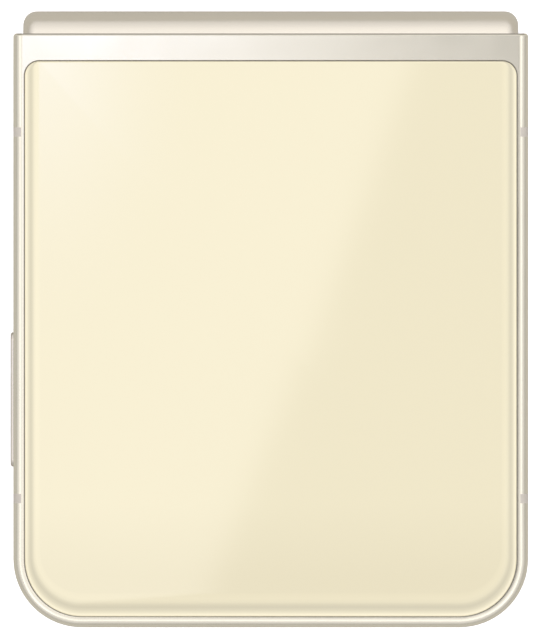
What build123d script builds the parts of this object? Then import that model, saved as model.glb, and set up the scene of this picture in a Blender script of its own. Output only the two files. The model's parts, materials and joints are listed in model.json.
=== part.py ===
"""A folding clamshell phone, lying closed on its cover side.

Two half shells fold about a spine. Each half turns about an axis of its own that runs
through the air beside the spine, so the flexible display keeps its length as it folds.

Frame: +X across the phone, +Y towards the spine, +Z up through the closed phone. The
origin is below its middle, on the surface that it lies on. Each half is drawn in a plane
of its own: x across, y away from the hinge edge, z outwards from the display side.
"""
import os
from math import asin, atan2, ceil, cos, degrees, floor, pi, radians, sin

from build123d import *

os.makedirs("parts", exist_ok=True)

# ---------------------------------------------------------------- driving dimensions, mm
body_width = 72.2
folded_length = 86.4
hinge_thickness = 17.1
end_thickness = 15.9
half_thickness = 6.9

# shell of a half
glass_proud = 0.3
end_corner = 9.6
side_round = 1.35
front_chamfer = 0.45
hinge_edge_chamfer = 0.3
run_out = 1.0
hinge_edge_gap = 0.04
side_wall = 1.15
pocket_wall = 2.7
pocket_start = 8.2
pocket_corner = 1.6
midplate_thickness = 0.85
band_width = 1.3
band_depth = 1.1
band_hinge_start = 13.2
upper_band_inset = 11.94
lower_band_inset = 18.74

# outer glass
glass_inset = 1.55
glass_start = 3.85
glass_gap = 0.08
glass_thickness = 0.7
glass_drop = 0.35
glass_roll = 1.5
glass_roll_blend = 4.0
glass_hinge_corner = 2.1
window_length = 26.84
seam_gap = 0.08

# flexible display and what is under it
display_depth = 0.35
display_thickness = 0.6
display_inset = 1.8
display_gap = 0.05
fold_clearance = 0.05
support_thickness = 0.3
support_inset = 1.9
support_start = 0.06

# rim round the display, with its bumpers
bezel_outer_inset = 0.35
bezel_inner_inset = 2.9
bezel_start = 5.0
bezel_height = 0.75
bezel_step_inset = 1.25
bezel_step_gap = 0.02
bumper_height = 0.25
bumper_length = 5.0
bumper_width = 1.2
bumper_corner = 0.35
bezel_chamfer = 0.15
end_bumper_inset = 10.1
side_bumper_inset = 31.34

# spine
spine_end_step = 1.35
spine_proud = 3.06
spine_wall = 0.45
spine_end_wall = 0.9
spine_end_round = 1.9
spine_mouth = 1.75
spine_clearance = 0.12
spine_end_clearance = 0.2

# sync gears: a train of four between two toothed arcs
gear_teeth = 8
arc_teeth = 28
gear_addendum = 0.8
gear_dedendum = 1.1
arc_addendum = 0.5
tooth_root_angle = 12.0
tooth_tip_angle = 3.5
gap_mouth_angle = 4.4
gap_root_angle = 2.6
mesh_angle = 240.0
arc_overrun = 14.0
gear_pocket_clearance = 0.08
shaft_radius = 0.38
bearing_clearance = 0.03
arc_back = 0.32

# hinge module, from its inner end outwards along the spine
module_end_gap = 0.05
module_wall = 1.0
rail_width = 2.9
arc_width = 2.0
side_play = 0.1
rail_inner = 3.2
rail_outer = 3.95
rail_clearance = 0.05
rail_start_angle = 16.0
rail_stop_angle = 138.0
module_top = 1.7
module_fit = 0.02
bracket_top = 1.0
bracket_thickness = 0.6
bracket_start = 5.5
bracket_end = 10.8
bracket_margin = 0.2
pack_length = 7.8
pack_wall = 0.8
collar_length = 0.5
collar_radius = 0.9
spring_count = 4
spring_radius = 1.05
spring_sheet = 0.28
spring_rise = 0.7
spring_play = 0.02
washer_thickness = 0.5
base_height = 0.85
wiper_end_gap = 0.7
wiper_gap = 0.1
wiper_height = 0.9
wiper_thickness = 0.35
arc_tail_angle = 13.5
foot_length = 11.6
foot_screw_inset = 1.6
foot_screw_depth = 1.15
tongue_gap = 0.4

# screws
screw_radius = 0.5
screw_head_radius = 0.95
screw_head_height = 0.35
screw_depth = 2.2
screw_clearance = 0.02
bracket_screw_line = 7.5
bracket_screw_inset = 2.5
board_screw_depth = 1.6
board_screw_inset = 3.0
small_sides = 6

# keys and card tray in the upper half's sides
key_height = 2.2
key_floor_gap = 0.05
key_clearance = 0.07
key_flange = 0.5
key_flange_margin = 0.2
key_wall_gap = 0.05
volume_key_length = 18.9
volume_key_offset = 1.725
volume_key_proud = 0.5
side_key_length = 13.5
side_key_centre = 28.3
side_key_sunk = 0.05
key_chamfer = 0.2
switch_gap = 0.35
switch_dome = 0.2
switch_sheet = 0.3
dome_radius = 1.0
tray_inset = 16.64
tray_lift = 0.8
tray_face_length = 11.5
tray_face_height = 1.9
tray_face_depth = 1.0
tray_width = 10.6
tray_length = 17.5
tray_thickness = 0.7
card_length = 12.3
card_width = 8.8
card_depth = 0.4
reader_wall = 0.3

# cameras and lights of the upper half
ring_proud = 0.3
ring_outer = 5.0
ring_wall = 0.7
ring_clearance = 0.05
ring_chamfer = 0.15
lens_sunk = 0.15
lens_thickness = 0.6
camera_side_inset = 9.5
camera_end_inset = 8.64
camera_pitch = 12.4
camera_body = 9.0
camera_body_height = 2.9
camera_body_corner = 0.9
camera_barrel = 3.6
barrel_sides = 12
flash_offset = 8.0
flash_radius = 1.5
flash_height = 0.9
front_camera_inset = 5.24
front_camera_barrel = 1.7
front_camera_width = 5.6
front_camera_length = 4.8
front_camera_gap = 0.4

# boards
board_lift = 0.3
board_thickness = 0.8
boss_radius = 1.6
chip_height = 1.0
can_height = 1.5
can_wall = 0.2
battery_gap = 0.5
board_notch_gap = 0.2
magnet_gap = 0.1
magnet_width = 1.6
magnet_length = 5.5
magnet_height = 2.4
key_magnet_gap = 1.45
tray_magnet_gap = 3.0
coil_gap = 0.05
coil_outer = 19.5
coil_inner = 10.5
coil_thickness = 0.35
coil_sides = 24
display_module_thickness = 0.8
cable_thickness = 0.15

# plan of the pieces inside the halves: gaps to the pocket and to each other, and lengths
battery_start_gap = 3.2
battery_corner = 1.0
inner_corner = 0.5
inner_side_gap = 2.4
end_row_gap = 0.24
end_row_length = 4.4
end_piece_gap = 0.5
motor_side_gap = 5.4
motor_width = 9.0
earpiece_gap = 1.0
earpiece_motor_gap = 2.0
board_side_gap = 2.2
board_arm_width = 14.0
board_arm_gap = 1.8
board_length = 26.0
board_end_gap = 1.0
battery_arm_gap = 1.7
battery_board_gap = 1.2
cover_display_flash_gap = 1.6
cover_display_side_gap = 3.9
cover_display_seam_gap = 2.1
cover_display_end_gap = 0.44
can_arm_gap = 0.7
can_reader_gap = 1.5
can_margin = 1.75
arm_can_margin = 0.6
arm_can_start_gap = 5.0
chip_margin = 2.2
cable_side_gap = 1.9
cable_width = 6.0
cable_start_gap = 0.8
cable_under_board = 1.0
battery_cable_gap = 1.5
battery_sub_board_gap = 2.0
sub_board_side_gap = 2.9
sub_board_inset = 20.64
sub_board_length = 14.5
port_board_margin = 3.0
port_board_step = 0.5
port_board_end_gap = 1.04
charging_chip_inset = 10.5
charging_chip_start = 4.0
charging_chip_width = 9.0
charging_chip_length = 8.0
loudspeaker_width = 21.0
loudspeaker_length = 15.5
loudspeaker_end_gap = 3.14
loudspeaker_board_gap = 1.5

# port, speaker and microphone of the lower half
port_width = 8.34
port_height = 2.56
port_wall = 0.3
port_lift = 0.02
port_depth = 7.0
port_mouth_sunk = 0.1
port_clearance = 0.06
tongue_width = 6.69
tongue_thickness = 0.7
tongue_length = 4.6
grille_count = 6
grille_pitch = 2.0
grille_radius = 0.55
grille_sides = 10
grille_inset = 10.0
microphone_across = -12.0
microphone_hole = 0.45
microphone_width = 4.0
microphone_length = 4.9
microphone_gap = 0.2

# ---------------------------------------------------------------- what follows from them
half_length = folded_length - spine_proud
hinge_gap = hinge_thickness - 2 * half_thickness
close_lean = degrees(atan2(hinge_thickness - end_thickness, half_length)) / 2
fold_travel = 90 + close_lean

half_gap = hinge_gap / 2
neutral = display_depth + display_thickness / 2
axis_depth = (neutral * pi / 2 - (2 - pi / 2) * half_gap) / 2
axis_reach = half_gap + axis_depth
fold_axis = (axis_reach, axis_depth)
bend_radius = half_gap + neutral
display_start = bend_radius * pi / 2

frame_back = half_thickness - glass_proud
glass_bottom = half_thickness - glass_thickness
recess_depth = display_depth + display_thickness + support_thickness
midplate_back = recess_depth + midplate_thickness
board_top = midplate_back + board_lift + board_thickness
pocket_side = body_width / 2 - pocket_wall
pocket_end = half_length - pocket_wall
band_starts = {"upper": (band_hinge_start, half_length - upper_band_inset),
               "lower": (band_hinge_start, half_length - lower_band_inset)}
window_seam = half_length - window_length

# places in the upper half
side_key_end = side_key_centre + side_key_length / 2
volume_key_centre = (side_key_end + band_starts["upper"][1]) / 2 - volume_key_offset
key_level = midplate_back + key_floor_gap + key_flange_margin + key_height / 2
tray_centre = pocket_end - tray_inset
tray_level = board_top + tray_lift
camera_across = camera_side_inset - body_width / 2
camera_centres = (half_length - camera_end_inset - camera_pitch,
                  half_length - camera_end_inset)
flash_place = (camera_across + flash_offset, camera_centres[0])
front_camera_place = (0, half_length - front_camera_inset)

spine_length = body_width - 2 * spine_end_step
spine_depth = spine_proud + axis_depth + axis_reach
spine_radius = spine_depth - axis_depth
spine_inner_radius = spine_radius - spine_wall
cavity_radius = spine_radius + spine_clearance
cavity_half = spine_length / 2 + spine_end_clearance

cover_front = ring_proud + half_thickness
lean = radians(close_lean)
upper_axis = Vector(0, folded_length / 2 - spine_radius * cos(lean), cover_front - axis_depth)


def along(angle):
    """Direction of a half's length, away from the spine, dipped by an angle in radians."""
    return Vector(0, -cos(angle), -sin(angle))


def outward(angle):
    """Direction up out of the lower half's glass, leaned by an angle in radians."""
    return Vector(0, -sin(angle), cos(angle))


upper = Plane(origin=upper_axis + Vector(0, axis_reach, axis_depth),
              x_dir=(1, 0, 0), z_dir=(0, 0, -1))
spine = Plane(origin=upper_axis + outward(lean) * axis_reach + along(lean) * axis_depth,
              x_dir=outward(lean), z_dir=(1, 0, 0))
lower_axis = upper_axis + outward(lean) * (2 * axis_reach)
lower = Plane(origin=lower_axis - along(2 * lean) * axis_reach - outward(2 * lean) * axis_depth,
              x_dir=(-1, 0, 0), z_dir=outward(2 * lean))
halves = {"upper": upper, "lower": lower}

# the four gears lie in a line, level with the place where each arc meets its gear
mesh = radians(mesh_angle)
gear_module = axis_reach / (1.5 * gear_teeth + (arc_teeth - gear_teeth) / 2 * cos(mesh))
gear_radius = gear_module * gear_teeth / 2
gear_tip = gear_radius + gear_addendum * gear_module
gear_root = gear_radius - gear_dedendum * gear_module
arc_radius = gear_module * arc_teeth / 2
arc_tip = arc_radius - arc_addendum * gear_module
arc_root = arc_radius + gear_dedendum * gear_module
arc_outer = arc_root + arc_back
gear_level = -axis_depth + (arc_radius - gear_radius) * sin(mesh)
gear_pitch = 360 / gear_teeth
arc_pitch = 360 / arc_teeth
gear_phases = (0, gear_pitch / 2, 0, gear_pitch / 2)

# stations along a hinge module: guide, toothed arc, gear train, toothed arc, guide
rail_zone = rail_width + 2 * side_play
arc_zone = arc_width + 2 * side_play
module_length = 2 * rail_zone + 3 * arc_zone + 4 * module_wall
module_end = spine_length / 2 - spine_end_wall - module_end_gap
module_start = module_end - module_length
pack_wall_start = module_start - pack_length
foot_start = module_start - foot_length
upper_rail_at = module_start + module_wall
upper_arc_at = upper_rail_at + rail_zone + module_wall
train_at = upper_arc_at + arc_zone
lower_arc_at = train_at + arc_zone
lower_rail_at = lower_arc_at + arc_zone + module_wall
base_top = spine_depth - spine_wall - base_height
collar_at = (module_start - washer_thickness - collar_length
             - spring_count * (spring_rise + spring_sheet + spring_play))


# ---------------------------------------------------------------- planes and outlines
def side_plane(half, across):
    """Lengthwise section of a half: x along it, y outwards, at a place across it."""
    return Plane(origin=half.origin + half.x_dir * across, x_dir=half.y_dir, z_dir=half.x_dir)


def end_plane(half, beyond):
    """Section across a half's open end: x across, y outwards, looking into the half."""
    return Plane(origin=half.origin + half.y_dir * (half_length + beyond),
                 x_dir=half.x_dir, z_dir=-half.y_dir)


def foot_plane(sign):
    """Top of a hinge module's foot, looking down into the spine's floor."""
    return Plane(origin=spine.origin - spine.y_dir * base_top
                 + spine.z_dir * (sign * (foot_start + foot_screw_inset)),
                 x_dir=(1, 0, 0), z_dir=-spine.y_dir)


def gear_plane(place, across):
    """Section at the axis of one of the four gears."""
    offset = (place - 1.5) * 2 * gear_radius
    return Plane(origin=spine.origin + spine.x_dir * offset + spine.y_dir * gear_level
                 + spine.z_dir * across, x_dir=spine.x_dir, z_dir=spine.z_dir)


def length_axis(half):
    """Axis along a half, away from the spine."""
    return Axis(half.origin, half.y_dir)


def depth_axis(half):
    """Axis out of a half, from its display side to its glass."""
    return Axis(half.origin, half.z_dir)


def plan(inset, start, hinge_corner=0.0):
    """Outline of a half drawn in by an inset, from a start line to its open end."""
    end = half_length - inset
    with Locations((0, (start + end) / 2)):
        Rectangle(body_width - 2 * inset, end - start)
    fillet(vertices().group_by(Axis.Y)[-1], radius=end_corner - inset)
    if hinge_corner > 0:
        fillet(vertices().group_by(Axis.Y)[0], radius=hinge_corner)


def patch(left, right, start, end):
    """Rectangle in a half's plan, by its sides across and along the half."""
    with Locations(((left + right) / 2, (start + end) / 2)):
        Rectangle(right - left, end - start)


def trough(radius, top):
    """Section of the spine: an arc about each fold axis, a flat floor, an open top."""
    rise = degrees(asin((top - axis_depth) / radius))
    with BuildLine() as outline:
        right = CenterArc((axis_reach, -axis_depth), radius, -90, 90 - rise)
        left = CenterArc((-axis_reach, -axis_depth), radius, 180 + rise, 90 - rise)
        Line(left @ 1, right @ 0)
        Line(right @ 1, left @ 0)
    make_face(outline.edges())


def polar(centre, radius, angle):
    """Point at a radius and an angle in degrees about a centre."""
    return (centre[0] + radius * cos(radians(angle)), centre[1] + radius * sin(radians(angle)))


def arc_band(inner, outer, start, stop):
    """Part of a ring about a half's fold axis, in its lengthwise section."""
    with BuildLine() as outline:
        near = CenterArc(fold_axis, inner, start, stop - start)
        far = CenterArc(fold_axis, outer, start, stop - start)
        Line(near @ 0, far @ 0)
        Line(near @ 1, far @ 1)
    make_face(outline.edges())


def screws(plane, places, depth, sense=1):
    """Low-head screws seated on a plane, their shanks going along its normal or back.

    Small hidden turned parts have a few flat sides each, to keep the whole part light.
    """
    with BuildSketch(plane) as heads:
        with Locations(*places):
            RegularPolygon(screw_head_radius, small_sides)
    extrude(heads.sketch, amount=-sense * screw_head_height)
    with BuildSketch(plane) as shanks:
        with Locations(*places):
            RegularPolygon(screw_radius, small_sides)
    extrude(shanks.sketch, amount=sense * depth)


def screw_holes(plane, places, depth):
    """Holes for the shanks of screws."""
    with BuildSketch(plane) as holes:
        with Locations(*places):
            RegularPolygon(screw_radius + screw_clearance, small_sides)
    extrude(holes.sketch, amount=depth, mode=Mode.SUBTRACT)


def block(half, left, right, start, end, bottom, top, corner=0.0):
    """Rectangular block in a half, its upright corners cut off."""
    with BuildSketch(half.offset(bottom)) as outline:
        patch(left, right, start, end)
        if corner > 0:
            chamfer(vertices(), length=corner)
    extrude(outline.sketch, amount=top - bottom)


# ---------------------------------------------------------------- plans of the inner pieces
def drawn_in(left, right, start, end, margin):
    """Sides of a rectangle drawn in by a margin all round."""
    return left + margin, right - margin, start + margin, end - margin


# each plan is (left, right, start, end): sides across a half, then places along it
battery_start = pocket_start + battery_start_gap
inner_right = pocket_side - inner_side_gap
end_row = (pocket_end - end_row_gap - end_row_length, pocket_end - end_row_gap)
motor_right = pocket_side - motor_side_gap
motor_left = motor_right - motor_width
motor_plan = (motor_left, motor_right, *end_row)
earpiece_plan = (front_camera_width / 2 + earpiece_gap, motor_left - earpiece_motor_gap, *end_row)

board_left = board_side_gap - pocket_side
board_end = end_row[0] - board_end_gap
board_start = board_end - board_length
arm_right = board_left + board_arm_width
arm_start = pocket_start + board_arm_gap
main_board_plans = ((board_left, arm_right, arm_start, board_end),
                    (board_left, inner_right, board_start, board_end))
upper_battery_plan = (arm_right + battery_arm_gap, inner_right, battery_start,
                      board_start - battery_board_gap)
cover_display_plan = (flash_place[0] + flash_radius + cover_display_flash_gap,
                      pocket_side - cover_display_side_gap,
                      window_seam + cover_display_seam_gap, pocket_end - cover_display_end_gap)
reader_inner_end = body_width / 2 - tray_length - reader_wall
main_can = (arm_right + can_arm_gap, reader_inner_end - reader_wall - can_reader_gap,
            board_start + can_margin, board_end - can_margin)
arm_can = (board_left + arm_can_margin, arm_right - arm_can_margin,
           arm_start + arm_can_start_gap, board_start - arm_can_margin)
main_can_middle = (main_can[0] + main_can[1]) / 2
arm_can_middle = (arm_can[2] + arm_can[3]) / 2
chip_plans = [drawn_in(*sides, chip_margin) for sides in (
    (main_can[0], main_can_middle, main_can[2], main_can[3]),
    (main_can_middle, main_can[1], main_can[2], main_can[3]),
    (arm_can[0], arm_can[1], arm_can[2], arm_can_middle),
    (arm_can[0], arm_can[1], arm_can_middle, arm_can[3]))]

cable_left = cable_side_gap - pocket_side
cable_right = cable_left + cable_width
sub_board_start = pocket_end - sub_board_inset
sub_board_end = sub_board_start + sub_board_length
loudspeaker_left = inner_right - loudspeaker_width
loudspeaker_end = pocket_end - loudspeaker_end_gap
sub_board_left = sub_board_side_gap - pocket_side
sub_board_right = loudspeaker_left - loudspeaker_board_gap
sub_board_plans = ((sub_board_left, sub_board_right, sub_board_start, sub_board_end),
                   (microphone_across - port_board_margin, sub_board_right - port_board_step,
                    sub_board_end - port_board_step, pocket_end - port_board_end_gap))
cable_plan = (cable_left, cable_right, pocket_start + cable_start_gap,
              sub_board_start + cable_under_board)
main_battery_plan = (cable_right + battery_cable_gap, inner_right, battery_start,
                     sub_board_start - battery_sub_board_gap)
loudspeaker_plan = (loudspeaker_left, inner_right, loudspeaker_end - loudspeaker_length,
                    loudspeaker_end)
charging_chip_left = sub_board_left + charging_chip_inset
charging_chip_at = sub_board_start + charging_chip_start
charging_chip_plan = (charging_chip_left, charging_chip_left + charging_chip_width,
                      charging_chip_at, charging_chip_at + charging_chip_length)

# ---------------------------------------------------------------- frames
bracket_places = [(side * across, bracket_screw_line) for side in (-1, 1)
                  for across in (module_start + bracket_screw_inset,
                                 (module_start + module_end) / 2,
                                 module_end - bracket_screw_inset)]
board_screw_places = {
    "upper": [((board_left + arm_right) / 2, arm_start + board_screw_inset),
              (board_left + board_screw_inset, board_start + board_screw_inset),
              (inner_right - board_screw_inset, board_start + board_screw_inset)],
    "lower": [(sub_board_left + board_screw_inset, sub_board_start + board_screw_inset),
              (sub_board_left + board_screw_inset, sub_board_end - board_screw_inset),
              (sub_board_right - board_screw_inset, sub_board_start + board_screw_inset)],
}


def frame_blank(half):
    """Outside of a half's frame: flat back, rounded rim, plain hinge edge."""
    with BuildPart() as blank:
        with BuildSketch(half):
            plan(0, hinge_edge_gap)
        extrude(amount=frame_back)
        back = blank.faces().sort_by(depth_axis(half))[-1]
        fillet(back.edges().sort_by(length_axis(half))[1:], radius=side_round)
        front = blank.faces().sort_by(depth_axis(half))[0]
        chamfer(front.edges().sort_by(length_axis(half))[1:], length=front_chamfer)
        hinge_face = blank.faces().sort_by(length_axis(half))[0]
        chamfer(hinge_face.edges(), length=hinge_edge_chamfer)
    return blank.part


def band_blocks(half, starts, mode):
    """Slots across the rim where plastic bands part the metal for the antennas."""
    reach = body_width / 2 + run_out
    with BuildSketch(half.offset(-run_out)) as slots:
        for start in starts:
            patch(body_width / 2 - band_depth, reach, start, start + band_width)
            patch(-reach, band_depth - body_width / 2, start, start + band_width)
    extrude(slots.sketch, amount=frame_back + 2 * run_out, mode=mode)


def frame_shell(name, half):
    """Frame of a half with the openings that both halves share."""
    with BuildPart() as shell:
        add(frame_blank(half))
        # room that the spine turns in, and its flat floor when the phone is open
        with BuildSketch(side_plane(half, -cavity_half)):
            with Locations(fold_axis):
                Circle(cavity_radius)
                Rectangle(axis_reach + run_out, cavity_radius, align=(Align.MAX, Align.MIN))
        extrude(amount=2 * cavity_half, mode=Mode.SUBTRACT)
        # recess for the display and its support plate, open to the spine
        with BuildSketch(half):
            plan(side_wall, -run_out)
        extrude(amount=recess_depth, mode=Mode.SUBTRACT)
        # seat of the outer glass
        with BuildSketch(half.offset(glass_bottom)):
            plan(glass_inset - glass_gap, glass_start - glass_gap,
                 glass_hinge_corner + glass_gap)
        extrude(amount=half_thickness - glass_bottom, mode=Mode.SUBTRACT)
        # pocket for the battery and boards
        with BuildSketch(half.offset(midplate_back)):
            plan(pocket_wall, pocket_start, pocket_corner)
        extrude(amount=glass_bottom - midplate_back, mode=Mode.SUBTRACT)
        # seats of the fold brackets
        reach = bracket_end + bracket_margin
        inner, outer = module_start, module_end
        with BuildSketch(half.offset(recess_depth)):
            patch(inner, outer, bracket_start - run_out, reach)
            patch(-outer, -inner, bracket_start - run_out, reach)
        extrude(amount=bracket_top + bracket_thickness - recess_depth, mode=Mode.SUBTRACT)
        screw_holes(half.offset(bracket_top + bracket_thickness), bracket_places, screw_depth)
        # bosses that carry the board
        with BuildSketch(half.offset(midplate_back)):
            with Locations(*board_screw_places[name]):
                RegularPolygon(boss_radius, small_sides)
        extrude(amount=board_lift)
        screw_holes(half.offset(board_top - board_screw_depth), board_screw_places[name],
                    board_screw_depth)
        band_blocks(half, band_starts[name], Mode.SUBTRACT)
    return shell.part


def key_outline(length, centre, margin):
    """Outline of a side key, or of what surrounds it, in a half's lengthwise section."""
    with Locations((centre, key_level)):
        SlotOverall(length + 2 * margin, key_height + 2 * margin)


with BuildPart() as upper_frame:
    add(frame_shell("upper", upper))
    # tunnels for the two keys and for the card tray
    with BuildSketch(side_plane(upper, -body_width / 2 - run_out)):
        key_outline(volume_key_length, volume_key_centre, key_clearance)
        key_outline(side_key_length, side_key_centre, key_clearance)
    extrude(amount=pocket_wall + 2 * run_out, mode=Mode.SUBTRACT)
    with BuildSketch(side_plane(upper, body_width / 2 + run_out)):
        with Locations((tray_centre, tray_level)):
            SlotOverall(tray_face_length + 2 * key_clearance,
                        tray_face_height + 2 * key_clearance)
    extrude(amount=-pocket_wall - 2 * run_out, mode=Mode.SUBTRACT)
    # hole that the front camera looks through
    with BuildSketch(upper):
        with Locations(front_camera_place):
            Circle(front_camera_barrel + ring_clearance)
    extrude(amount=midplate_back, mode=Mode.SUBTRACT)
upper_frame.part.label = "upper_frame"
export_step(upper_frame.part, "parts/upper_frame.step")

port_outer = (port_width + 2 * port_wall, port_height + 2 * port_wall)
port_level = midplate_back + port_lift + port_outer[1] / 2
with BuildPart() as lower_frame:
    add(frame_shell("lower", lower))
    # mouth of the port, sound holes of the loudspeaker and of the microphone
    with BuildSketch(end_plane(lower, run_out)):
        with Locations((0, port_level)):
            SlotOverall(port_outer[0] + 2 * port_clearance, port_outer[1] + 2 * port_clearance)
        with Locations((loudspeaker_left + grille_inset, port_level)):
            with GridLocations(grille_pitch, 0, grille_count, 1):
                RegularPolygon(grille_radius, grille_sides)
        with Locations((microphone_across, port_level)):
            Circle(microphone_hole)
    extrude(amount=pocket_wall + 2 * run_out, mode=Mode.SUBTRACT)
lower_frame.part.label = "lower_frame"
export_step(lower_frame.part, "parts/lower_frame.step")

for side, half in halves.items():
    with BuildPart() as bands:
        band_blocks(half, band_starts[side], Mode.ADD)
        add(frame_blank(half), mode=Mode.INTERSECT)
    bands.part.label = f"{side}_antenna_bands"
    export_step(bands.part, f"parts/{side}_antenna_bands.step")


# ---------------------------------------------------------------- outer glass
def glass_panel(half):
    """Outer glass of a half: flat, with an edge that rolls down to the frame."""
    with BuildPart() as panel:
        with BuildSketch(half.offset(glass_bottom)):
            plan(glass_inset, glass_start, glass_hinge_corner)
        extrude(amount=glass_thickness)
        face = panel.faces().sort_by(depth_axis(half))[-1]
        chamfer(face.edges(), length=glass_roll, length2=glass_drop, reference=face)
        flat = panel.faces().sort_by(depth_axis(half))[-1]
        fillet(flat.edges(), radius=glass_roll_blend)
    return panel.part


camera_places = [(camera_across, centre) for centre in camera_centres]

with BuildPart() as back_glass:
    add(glass_panel(lower))
back_glass.part.label = "back_glass"
export_step(back_glass.part, "parts/back_glass.step")

with BuildPart() as cover_glass:
    add(glass_panel(upper))
    with BuildSketch(upper.offset(glass_bottom)):
        patch(-body_width / 2, body_width / 2, window_seam - seam_gap / 2, half_length)
    extrude(amount=glass_thickness, mode=Mode.SUBTRACT)
cover_glass.part.label = "cover_glass"
export_step(cover_glass.part, "parts/cover_glass.step")

with BuildPart() as cover_window:
    add(glass_panel(upper))
    with BuildSketch(upper.offset(glass_bottom)):
        patch(-body_width / 2, body_width / 2, 0, window_seam + seam_gap / 2)
        with Locations(*camera_places):
            Circle(ring_outer + ring_clearance)
    extrude(amount=glass_thickness, mode=Mode.SUBTRACT)
cover_window.part.label = "cover_window"
export_step(cover_window.part, "parts/cover_window.step")


# ---------------------------------------------------------------- display and its rims
def flat_display(half):
    """Flat part of the display on one half."""
    with BuildPart() as flat:
        with BuildSketch(half.offset(display_depth)):
            plan(display_inset, display_start + display_gap)
        extrude(amount=display_thickness)
    return flat.part


with BuildPart() as display_lower:
    add(flat_display(lower))
display_lower.part.label = "display_lower"
export_step(display_lower.part, "parts/display_lower.step")

with BuildPart() as display_upper:
    add(flat_display(upper))
    with BuildSketch(upper):
        with Locations(front_camera_place):
            Circle(front_camera_barrel + ring_clearance)
    extrude(amount=recess_depth, mode=Mode.SUBTRACT)
display_upper.part.label = "display_upper"
export_step(display_upper.part, "parts/display_upper.step")

display_half_width = body_width / 2 - display_inset
with BuildPart() as display_fold:
    with BuildSketch(spine.offset(-display_half_width)):
        with Locations((0, half_gap)):
            Circle(half_gap + display_depth + display_thickness - fold_clearance)
            Circle(half_gap + display_depth, mode=Mode.SUBTRACT)
        with Locations((0, half_gap)):
            Rectangle(2 * body_width, body_width, align=(Align.CENTER, Align.MIN),
                      mode=Mode.SUBTRACT)
    extrude(amount=2 * display_half_width)
display_fold.part.label = "display_fold"
export_step(display_fold.part, "parts/display_fold.step")


def display_support(half):
    """Thin plate under the flat display, cut away round the hinge modules."""
    with BuildPart() as plate:
        with BuildSketch(half.offset(display_depth + display_thickness)):
            plan(support_inset, support_start)
        extrude(amount=support_thickness)
        with BuildSketch(half):
            for sign in (-1, 1):
                inner, step, outer = (sign * (pack_wall_start - tongue_gap),
                                      sign * module_start, sign * body_width / 2)
                patch(min(inner, step), max(inner, step), -run_out, bracket_start - run_out)
                patch(min(step, outer), max(step, outer), -run_out,
                      bracket_end + bracket_margin)
        extrude(amount=recess_depth, mode=Mode.SUBTRACT)
    return plate.part


with BuildPart() as lower_support_plate:
    add(display_support(lower))
lower_support_plate.part.label = "lower_support_plate"
export_step(lower_support_plate.part, "parts/lower_support_plate.step")

with BuildPart() as upper_support_plate:
    add(display_support(upper))
    with BuildSketch(upper):
        with Locations(front_camera_place):
            Circle(front_camera_barrel + ring_clearance)
    extrude(amount=recess_depth, mode=Mode.SUBTRACT)
upper_support_plate.part.label = "upper_support_plate"
export_step(upper_support_plate.part, "parts/upper_support_plate.step")

for side, half in halves.items():
    with BuildPart() as bezel:
        with BuildSketch(half.offset(-bezel_height)):
            plan(bezel_outer_inset, bezel_start)
        extrude(amount=bezel_height)
        with BuildSketch(half):
            plan(bezel_step_inset, bezel_start)
        extrude(amount=display_depth - bezel_step_gap)
        with BuildSketch(half.offset(-bezel_height)):
            plan(bezel_inner_inset, 0)
        extrude(amount=bezel_height + display_depth, mode=Mode.SUBTRACT)
        rim = bezel.faces().sort_by(depth_axis(half))[0]
        chamfer(rim.edges(), length=bezel_chamfer)
    bezel.part.label = f"{side}_bezel"
    export_step(bezel.part, f"parts/{side}_bezel.step")

    rim_middle = (bezel_outer_inset + bezel_inner_inset) / 2
    with BuildPart() as bumpers:
        with BuildSketch(half.offset(-bezel_height - bumper_height)):
            with Locations((0, half_length - rim_middle)):
                with GridLocations(body_width - 2 * end_bumper_inset, 0, 2, 1):
                    Rectangle(bumper_length, bumper_width)
            with Locations((0, half_length - side_bumper_inset)):
                with GridLocations(body_width - 2 * rim_middle, 0, 2, 1):
                    Rectangle(bumper_width, bumper_length)
            chamfer(vertices(), length=bumper_corner)
        extrude(amount=bumper_height)
    bumpers.part.label = f"{side}_bumpers"
    export_step(bumpers.part, f"parts/{side}_bumpers.step")


# ---------------------------------------------------------------- spine
with BuildPart() as spine_cover:
    with BuildSketch(spine.offset(-spine_length / 2)):
        trough(spine_radius, spine_mouth)
    extrude(amount=spine_length)
    mouth_axis = Axis(spine.origin, spine.y_dir)
    for end in (spine_cover.faces().sort_by(Axis.X)[0], spine_cover.faces().sort_by(Axis.X)[-1]):
        fillet(end.edges().sort_by(mouth_axis)[:-1], radius=spine_end_round)
    with BuildSketch(spine.offset(spine_end_wall - spine_length / 2)):
        trough(spine_inner_radius, spine_mouth - run_out)
    extrude(amount=spine_length - 2 * spine_end_wall, mode=Mode.SUBTRACT)
    for sign in (-1, 1):
        screw_holes(foot_plane(sign), [(0, 0)], foot_screw_depth)
spine_cover.part.label = "spine_cover"
export_step(spine_cover.part, "parts/spine_cover.step")


def rod(place, radius, start, stop, mode=Mode.ADD):
    """Bar or bore on a gear's axis, between two stations along the spine.

    A bar has its corners on the radius and a bore its flat sides, so a bar turns in its bore.
    """
    with BuildSketch(gear_plane(place, start)) as section:
        RegularPolygon(radius, small_sides, major_radius=mode == Mode.ADD)
    extrude(section.sketch, amount=stop - start, mode=mode)


bearing_radius = shaft_radius + bearing_clearance
upper_centre = (-axis_reach, -axis_depth)
lower_centre = (axis_reach, -axis_depth)

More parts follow.
